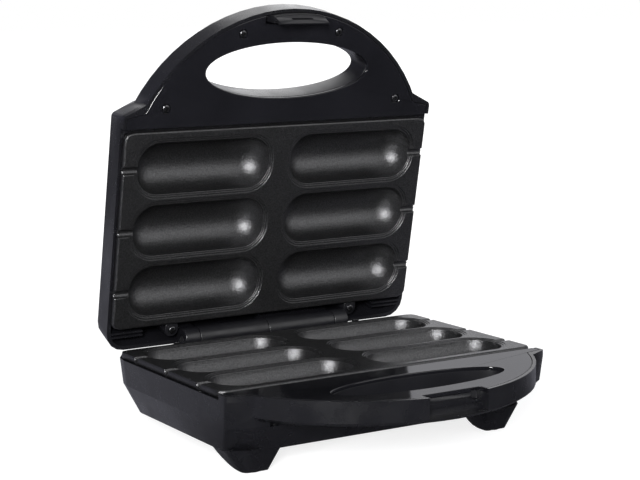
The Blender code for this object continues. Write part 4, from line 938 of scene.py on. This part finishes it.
def add_cell(skin, settings, column, row):
    """A cavity, its ledge of two steps and the land round it, as rings from the floor outwards.

    Ring by ring the inset falls as (half width)(1 - cos a) while the depth falls as (depth) sin a,
    which is a quarter ellipse. Where the stick channel runs, the depth is the greater of the
    ring's and its own.
    """
    cell = Cell(column, row)
    half_x, half_y = CAVITY_HALF_X, CAVITY_HALF_Y
    ledge = PLATE_FACE + settings.ledge_depth
    rows = []
    for angle in np.radians(CAVITY_ANGLES):
        inset = half_y * (1 - cos(angle))
        narrow = half_y - inset
        outline = cell.ring(half_x - inset, narrow, CAVITY_CORNER * narrow / half_y)
        rows.append((outline, PLATE_FACE + settings.cavity_depth * sin(angle)))
    profile = [(offset, ledge + deeper) for offset, deeper in BRIM]
    for index, wide in enumerate((settings.ledge_width / 2, settings.ledge_width)):
        for offset, share in STEP:
            profile.append((wide + offset, ledge - settings.ledge_depth * (index + share) / 2))
    for offset, depth in profile:
        outline = cell.ring(half_x + offset, half_y + offset, CAVITY_CORNER + offset)
        rows.append((outline, depth))
    border = plate_edge(cell.border() + cell.centre) - cell.centre
    rows += [(outline * (1 - s) + border * s, PLATE_FACE) for s in (0.04, 0.5, 0.96, 1)]
    grid = stacked(rows)
    x, y, depth = np.moveaxis(grid, -1, 0)
    channel = channel_depth(np.abs(y), settings.channel_radius) + PLATE_FACE
    inside = (x * column > cell.core_x) & (np.abs(y) < settings.channel_radius + CHANNEL_RIM)
    depth[inside] = np.maximum(depth, channel)[inside]
    grid[..., :2] += cell.centre
    skin.add(grid)
    add_skirt(skin, grid[-1, :, :2], grid[-1, :, 2])


def plate_edge(points):
    """Moves border points at the plate's corners onto its outline inside the rounded rim."""
    beyond = np.abs(points) - PLATE_CORE
    stretch = (PLATE_CORNER - PLATE_EDGE) / np.maximum(np.hypot(*beyond.T), 1e-9)
    at_corner = (beyond > 1e-7).all(axis=1)
    rounded = np.sign(points) * (PLATE_CORE + beyond * stretch[:, None])
    return np.where(at_corner[:, None], rounded, points)


def add_skirt(skin, border, depth):
    """The plate's rounded rim and skirt, where a cell's border lies on the plate's edge."""
    beyond = np.abs(border) - PLATE_CORE
    at_corner = (beyond > 1e-7).all(axis=1)
    at_side = np.abs(beyond - (PLATE_CORNER - PLATE_EDGE)) < 1e-6
    outer = at_side.any(axis=1) | at_corner
    away = np.where(at_corner[:, None], beyond, at_side)
    away = np.sign(border) * away / np.maximum(np.hypot(*away.T), 1e-9)[:, None]
    levels = [(PLATE_EDGE - aside, depth + down) for aside, down in quarter_round(PLATE_EDGE)]
    levels += [(PLATE_EDGE, SKIRT_DEPTH - SKIRT_EDGE), (PLATE_EDGE - SKIRT_EDGE, SKIRT_DEPTH)]
    keep = outer & np.roll(outer, -1)
    skin.add(rings(levels, lambda out: border + away * out), keep)


def add_ear(skin, side):
    """A rounded ear behind the plate, with the screw's hole left to the screw that fills it."""
    half_y = (EAR_Y + EAR_RADIUS - PLATE_HALF_Y + EAR_OVERLAP) / 2
    centre = (side * EAR_X, PLATE_HALF_Y - EAR_OVERLAP + half_y)
    rim = quarter_round(SKIRT_EDGE)
    top = SKIRT_DEPTH - EAR_SHEET
    profile = [(aside, top + down) for aside, down in rim]
    profile += [(aside, SKIRT_DEPTH - down) for aside, down in rim[::-1]]
    add_solid(skin, rings(profile, shrinking(EAR_RADIUS, half_y, EAR_CORNER, centre)))


class CORNDOG_OT_covers(Operator):
    """Makes the handle covers and the lining of the finger openings"""

    bl_idname = "corn_dog.covers"
    bl_label = "Handle covers"

    def execute(self, context):
        settings = context.scene.corn_dog_handle
        for body in PLATES:
            cover = make_cover(settings.edge_round, body, plastic(context, "polished_black"))
            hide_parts(f"{body}_handle_cover")
            inside = plastic(context, "moulded_black" if body == "lid" else "shaded_black")
            lining = make_lining(settings.lining_wall, body, inside)
        return {"FINISHED"}


def make_cover(edge, body, finish):
    """The cover as one closed skin: outer rim, face, the opening's rim and wall, underside and lip.

    Each ring of the face is a share of the way from the outline to the opening's rim at the same
    bearing. The lip stands along the rear edge, where the outline's first and last points reach
    down to its depth.
    """
    face = COVER_FACE[body]
    under = face + COVER_SHEET
    plan = handle_outline(COVER_INSET)
    on_lip = plan[:, 1] >= -COVER_REAR - LIP_WALL - 1e-6
    lip_end = np.where(on_lip, LIP_DEPTH, under)
    lip_inside = plan.copy()
    lip_inside[on_lip, 1] = -COVER_REAR - LIP_WALL
    rim = handle_outline(COVER_INSET + edge)
    hole = lens_facing(rim, edge)
    rows = [(lip_inside, under), (lip_inside, lip_end), (plan, lip_end)]
    for aside, down in quarter_round(edge)[::-1]:
        rows.append((handle_outline(COVER_INSET + aside), face + down))
    rows += [(rim * (1 - share) + hole * share, face) for share in (0.01, 0.25, 0.5, 0.75, 0.99)]
    for aside, down in quarter_round(edge):
        rows.append((lens_facing(rim, aside), face + down))
    rows += [(lens_facing(rim, 0), under), rows[0]]
    cover = Skin(stacked(rows)).build(f"{body}_cover", body, finish, 30)
    tools = Skin()
    add_notch_room(tools, face, edge / 2)
    if body == "lid":
        add_recesses(tools, face)
    carve(cover, tools, body)
    if body == "base":
        slot = Skin()
        add_slot(slot, face + edge)
        carve(cover, slot, body)
    return cover


def add_notch_room(skin, face, edge):
    """The room of the latch as a solid to take away, wider at the face for a rounded rim."""
    outline = shrinking(*NOTCH_PLAN, (0, -NOTCH_BACK - NOTCH_PLAN[1]))
    profile = [(-edge, face - 0.003)]
    for aside, down in quarter_round(edge)[::-1]:
        profile.append((aside - edge, face + edge - down))
    profile.append((0, face + 2 * COVER_SHEET))
    add_solid(skin, rings(profile, outline))


def add_recesses(skin, face):
    """The recesses and holes of the screws as turned solids to take away, with eased rims."""
    ease = 0.00025
    profile = [(0.0, -0.003), (SCREW_RECESS + ease, -0.003), (SCREW_RECESS + ease, 0.0)]
    profile += [(SCREW_RECESS, ease), (SCREW_RECESS, SCREW_RECESS_DEPTH)]
    profile += [(SCREW_HOLE, SCREW_RECESS_DEPTH), (SCREW_HOLE, 0.004), (0.0, 0.004)]
    for x, y in SCREW_PLACES:
        skin.add(turned_rings(profile, (x, y, face)))


def carve(piece, tools, body):
    """Takes the solids of a skin away from a piece."""
    before = len(piece.data.polygons)
    cutter = tools.build("cutter", body, piece.data.materials[0])
    cut = piece.modifiers.new("recesses", "BOOLEAN")
    cut.object = cutter
    cut.solver = "MANIFOLD"
    graph = bpy.context.evaluated_depsgraph_get()
    piece_cut = bpy.data.meshes.new_from_object(piece.evaluated_get(graph))
    piece.modifiers.clear()
    piece.data = piece_cut
    bpy.data.objects.remove(cutter, do_unlink=True)
    if len(piece_cut.polygons) in (0, before):
        raise RuntimeError(f"nothing was cut from {piece.name}")
    piece_cut.set_sharp_from_angle(angle=radians(30))


def make_lining(wall, body, finish):
    """The wall round the finger opening: an ellipse carried down the handle with rounded rims."""
    near = COVER_FACE[body] + COVER_SHEET - 0.0004
    far = HANDLE_DEPTH[body] + 0.0002
    inner = -LENS_LEDGE[body] - wall
    outer = -LENS_LEDGE[body] + 0.0002
    profile = [(outer, near)]
    profile += [(inner + aside, near + down) for aside, down in quarter_round(wall)]
    profile += [(aside - LENS_FAR, far - up) for aside, up in quarter_round(LENS_ROLL)[::-1]]
    profile += [(outer, far - 0.0001), (outer, near)]
    return Skin(rings(profile, lens_outline)).build(f"{body}_opening_lining", body, finish, 45)


class CORNDOG_OT_latch(Operator):
    """Makes the latch: a tab inside the bow with a slanted pad and an engraved line to press"""

    bl_idname = "corn_dog.latch"
    bl_label = "Latch"

    def execute(self, context):
        settings = context.scene.corn_dog_latch
        skin = Skin()
        add_latch(skin, settings)
        tab = skin.build("latch_tab", "latch", plastic(context, "satin_black"), 30)
        tools = Skin()
        add_pad_line(tools, settings.reach)
        add_tooth_groove(tools, settings.width)
        carve(tab, tools, "latch")
        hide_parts("latch")
        return {"FINISHED"}


def pad_depth(y, reach):
    """The slanted pad falls evenly from its top at the bow to its full reach at the inner side."""
    share = np.clip((LATCH_OUTER_Y + y) / PAD_RUN, 0, 1)
    return -PAD_TOP - (reach - PAD_TOP) * share


def add_latch(skin, settings):
    """Rings of the tab's plan from its top down to the pad, closed at both ends.

    The plan is the bow, two flanks and a straight inner side. The pad's edge is a quarter round.
    """
    half = settings.width / 2

    def outline(inset):
        radius = LATCH_RADIUS - inset
        flank = half - inset
        stop = -np.arccos(flank / radius)
        bow = bow_points(radius, stop, -pi - stop, 60)
        inner = -LATCH_INNER_Y - inset
        left = line(bow[-1], (-flank, inner), 5)[1:]
        side = line(left[-1], (flank, inner), 40)[1:]
        right = line(side[-1], bow[0], 5)[1:-1]
        return np.concatenate([bow, left, side, right])

    pad = pad_depth(outline(0)[:, 1], settings.reach)
    profile = [(LATCH_TOP_EDGE, LATCH_TOP), (0, LATCH_TOP - LATCH_TOP_EDGE)]
    for aside, down in quarter_round(settings.edge_round)[::-1]:
        profile.append((aside, pad + down))
    add_solid(skin, rings(profile, outline))


def add_tooth_groove(skin, width):
    """The room of the base's catch across the tab's inner side, which leaves the tooth below it."""
    centre = (0, -GROOVE_Y + GROOVE_HALF_Y)
    outline = rounded_rectangle(width / 2 + 0.002, GROOVE_HALF_Y, 0.0002, centre)
    add_prism(skin, outline, GROOVE_DEPTHS)


def add_pad_line(skin, reach):
    """The engraved line: a bar with round ends that stands square to the pad."""
    bar = rounded_rectangle(*PAD_LINE_PLAN)
    slope = np.array((PAD_RUN, PAD_TOP - reach))
    along = slope / np.hypot(*slope)
    away = np.array((along[1], -along[0]))
    centre_y = -LATCH_OUTER_Y + 0.52 * PAD_RUN
    centre = np.array((centre_y, pad_depth(centre_y, reach)))
    rows = []
    for height, narrow in ((0.003, 1.0), (-0.0014, 0.9)):
        across = centre + bar[:, 1:] * along + height * away
        rows.append(np.column_stack([(bar[:, 0] + PAD_LINE_X) * narrow, across]))
    add_solid(skin, np.stack(rows))


class CORNDOG_OT_screws(Operator):
    """Makes the cross-head screws of the covers and the plates"""

    bl_idname = "corn_dog.screws"
    bl_label = "Screws"

    def execute(self, context):
        settings = context.scene.corn_dog_screws
        radius = settings.head_radius
        finish = finish_named("screw_steel", metal, tuple(settings.steel_colour), 0.3)
        lid_seat = COVER_FACE["lid"] + SCREW_RECESS_DEPTH - SCREW_SUNK
        base_seat = HANDLE_DEPTH["base"] - 0.004 + SCREW_SUNK
        plate_seat = SKIRT_DEPTH - EAR_SHEET - SCREW_SUNK
        for index, (x, y) in enumerate(SCREW_PLACES, start=1):
            make_screw(f"lid_cover_screw_{index}", "lid", (x, y, lid_seat), -1, radius, finish)
            make_screw(f"base_cover_screw_{index}", "base", (x, y, base_seat), 1, radius, finish)
        for body, word in PLATES.items():
            for side, x in (("left", -EAR_X), ("right", EAR_X)):
                seat = (x, EAR_Y, plate_seat)
                make_screw(f"{word}_plate_screw_{side}", body, seat, -1, radius, finish)
        return {"FINISHED"}


def make_screw(node, body, seat, way, radius, finish):
    """A domed head with a cross recess. The height falls with the fourth power of the radius, and
    it drops inside the cross, where the smaller of the distances along x and y is under an arm's
    half width."""
    reach = np.concatenate([np.linspace(0, 0.8, 17), np.linspace(0.84, 1.0, 6)])[:, None] * radius
    x, y = (reach * share for share in circle(72))
    arm = np.clip((CROSS_ARM - np.minimum(np.abs(x), np.abs(y))) / 0.00016, 0, 1)
    in_cross = arm * np.clip((CROSS_REACH - np.hypot(x, y)) / 0.0003, 0, 1)
    height = HEAD_HEIGHT - 0.35 * HEAD_HEIGHT * (reach / radius) ** 4 - CROSS_DEPTH * in_cross
    top = np.stack([x + seat[0], y + seat[1], seat[2] + way * height], axis=-1)
    foot = with_depth(top[-1, :, :2], seat[2])
    middle = np.broadcast_to(foot.mean(axis=0), foot.shape)
    skin = Skin(top, np.stack([top[-1], foot, middle]))
    piece = skin.build(f"{node}_head", body, finish, 35)
    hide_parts(node)


class CORNDOG_OT_lamps(Operator):
    """Makes the two pilot lamps' lenses on the lid"""

    bl_idname = "corn_dog.lamps"
    bl_label = "Pilot lamps"

    def execute(self, context):
        outer = HOUSING_DEPTH + LAMP_PROUD
        dome = np.linspace(pi / 2, 0, 12)
        profile = [(LAMP_DOME * cos(a), outer + 0.0003 + 0.0009 * sin(a)) for a in dome]
        profile += [(LAMP_RADIUS - 0.0002, outer + 0.0003), (LAMP_RADIUS, outer + 0.0001)]
        profile += [(LAMP_RADIUS, outer), (LAMP_STEM, outer)]
        profile += [(LAMP_STEM, outer - 0.004), (0.0, outer - 0.004)]
        for word, x, tint in (("power", -LAMP_X, RED), ("ready", LAMP_X, GREEN)):
            skin = Skin(turned_rings(profile, (x, -LAMP_Y, 0.0)))
            lens = skin.build(f"{word}_lens", "lid", lamp_plastic(f"{word}_tint", tint))
            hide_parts(f"{word}_lamp_lens")
        return {"FINISHED"}


class CORNDOG_OT_fittings(Operator):
    """Gives every solid that stays in view its finish"""

    bl_idname = "corn_dog.fittings"
    bl_label = "Fittings"

    def execute(self, context):
        finishes = {slot: finish_named(*recipe) for slot, recipe in FITTINGS.items()}
        finishes["gloss_black"] = plastic(context, "moulded_black")
        finishes["non_stick"] = plate_finish(context)
        for entry in frame["record"]["subparts"]:
            mesh = frame["nodes"][entry["node"]].data
            mesh.materials.clear()
            mesh.materials.append(finishes[entry["material_slot"]])
        return {"FINISHED"}


class CORNDOG_PT_sidebar(Panel):
    """Lists the pieces and their settings"""

    bl_label = "Corn Dog Maker"
    bl_idname = "CORNDOG_PT_sidebar"
    bl_space_type = "VIEW_3D"
    bl_region_type = "UI"
    bl_category = "Corn Dog Maker"

    def draw(self, context):
        for operator in OPERATORS:
            self.layout.operator(operator.bl_idname)
        for name, group in SETTINGS.items():
            box = self.layout.box()
            for prop in group.__annotations__:
                box.prop(getattr(context.scene, name), prop)


OPERATORS = (
    CORNDOG_OT_stage,
    CORNDOG_OT_fittings,
    CORNDOG_OT_housings,
    CORNDOG_OT_knuckles,
    CORNDOG_OT_plates,
    CORNDOG_OT_covers,
    CORNDOG_OT_latch,
    CORNDOG_OT_screws,
    CORNDOG_OT_lamps,
)


def register():
    for name, group in SETTINGS.items():
        bpy.utils.register_class(group)
        setattr(bpy.types.Scene, name, PointerProperty(type=group))
    for made in (*OPERATORS, CORNDOG_PT_sidebar):
        bpy.utils.register_class(made)


def unregister():
    for made in (CORNDOG_PT_sidebar, *reversed(OPERATORS)):
        bpy.utils.unregister_class(made)
    for name, group in SETTINGS.items():
        delattr(bpy.types.Scene, name)
        bpy.utils.unregister_class(group)


def main():
    register()
    for operator in OPERATORS:
        getattr(bpy.ops.corn_dog, operator.bl_idname.split(".")[1])()


if __name__ == "__main__":
    main()
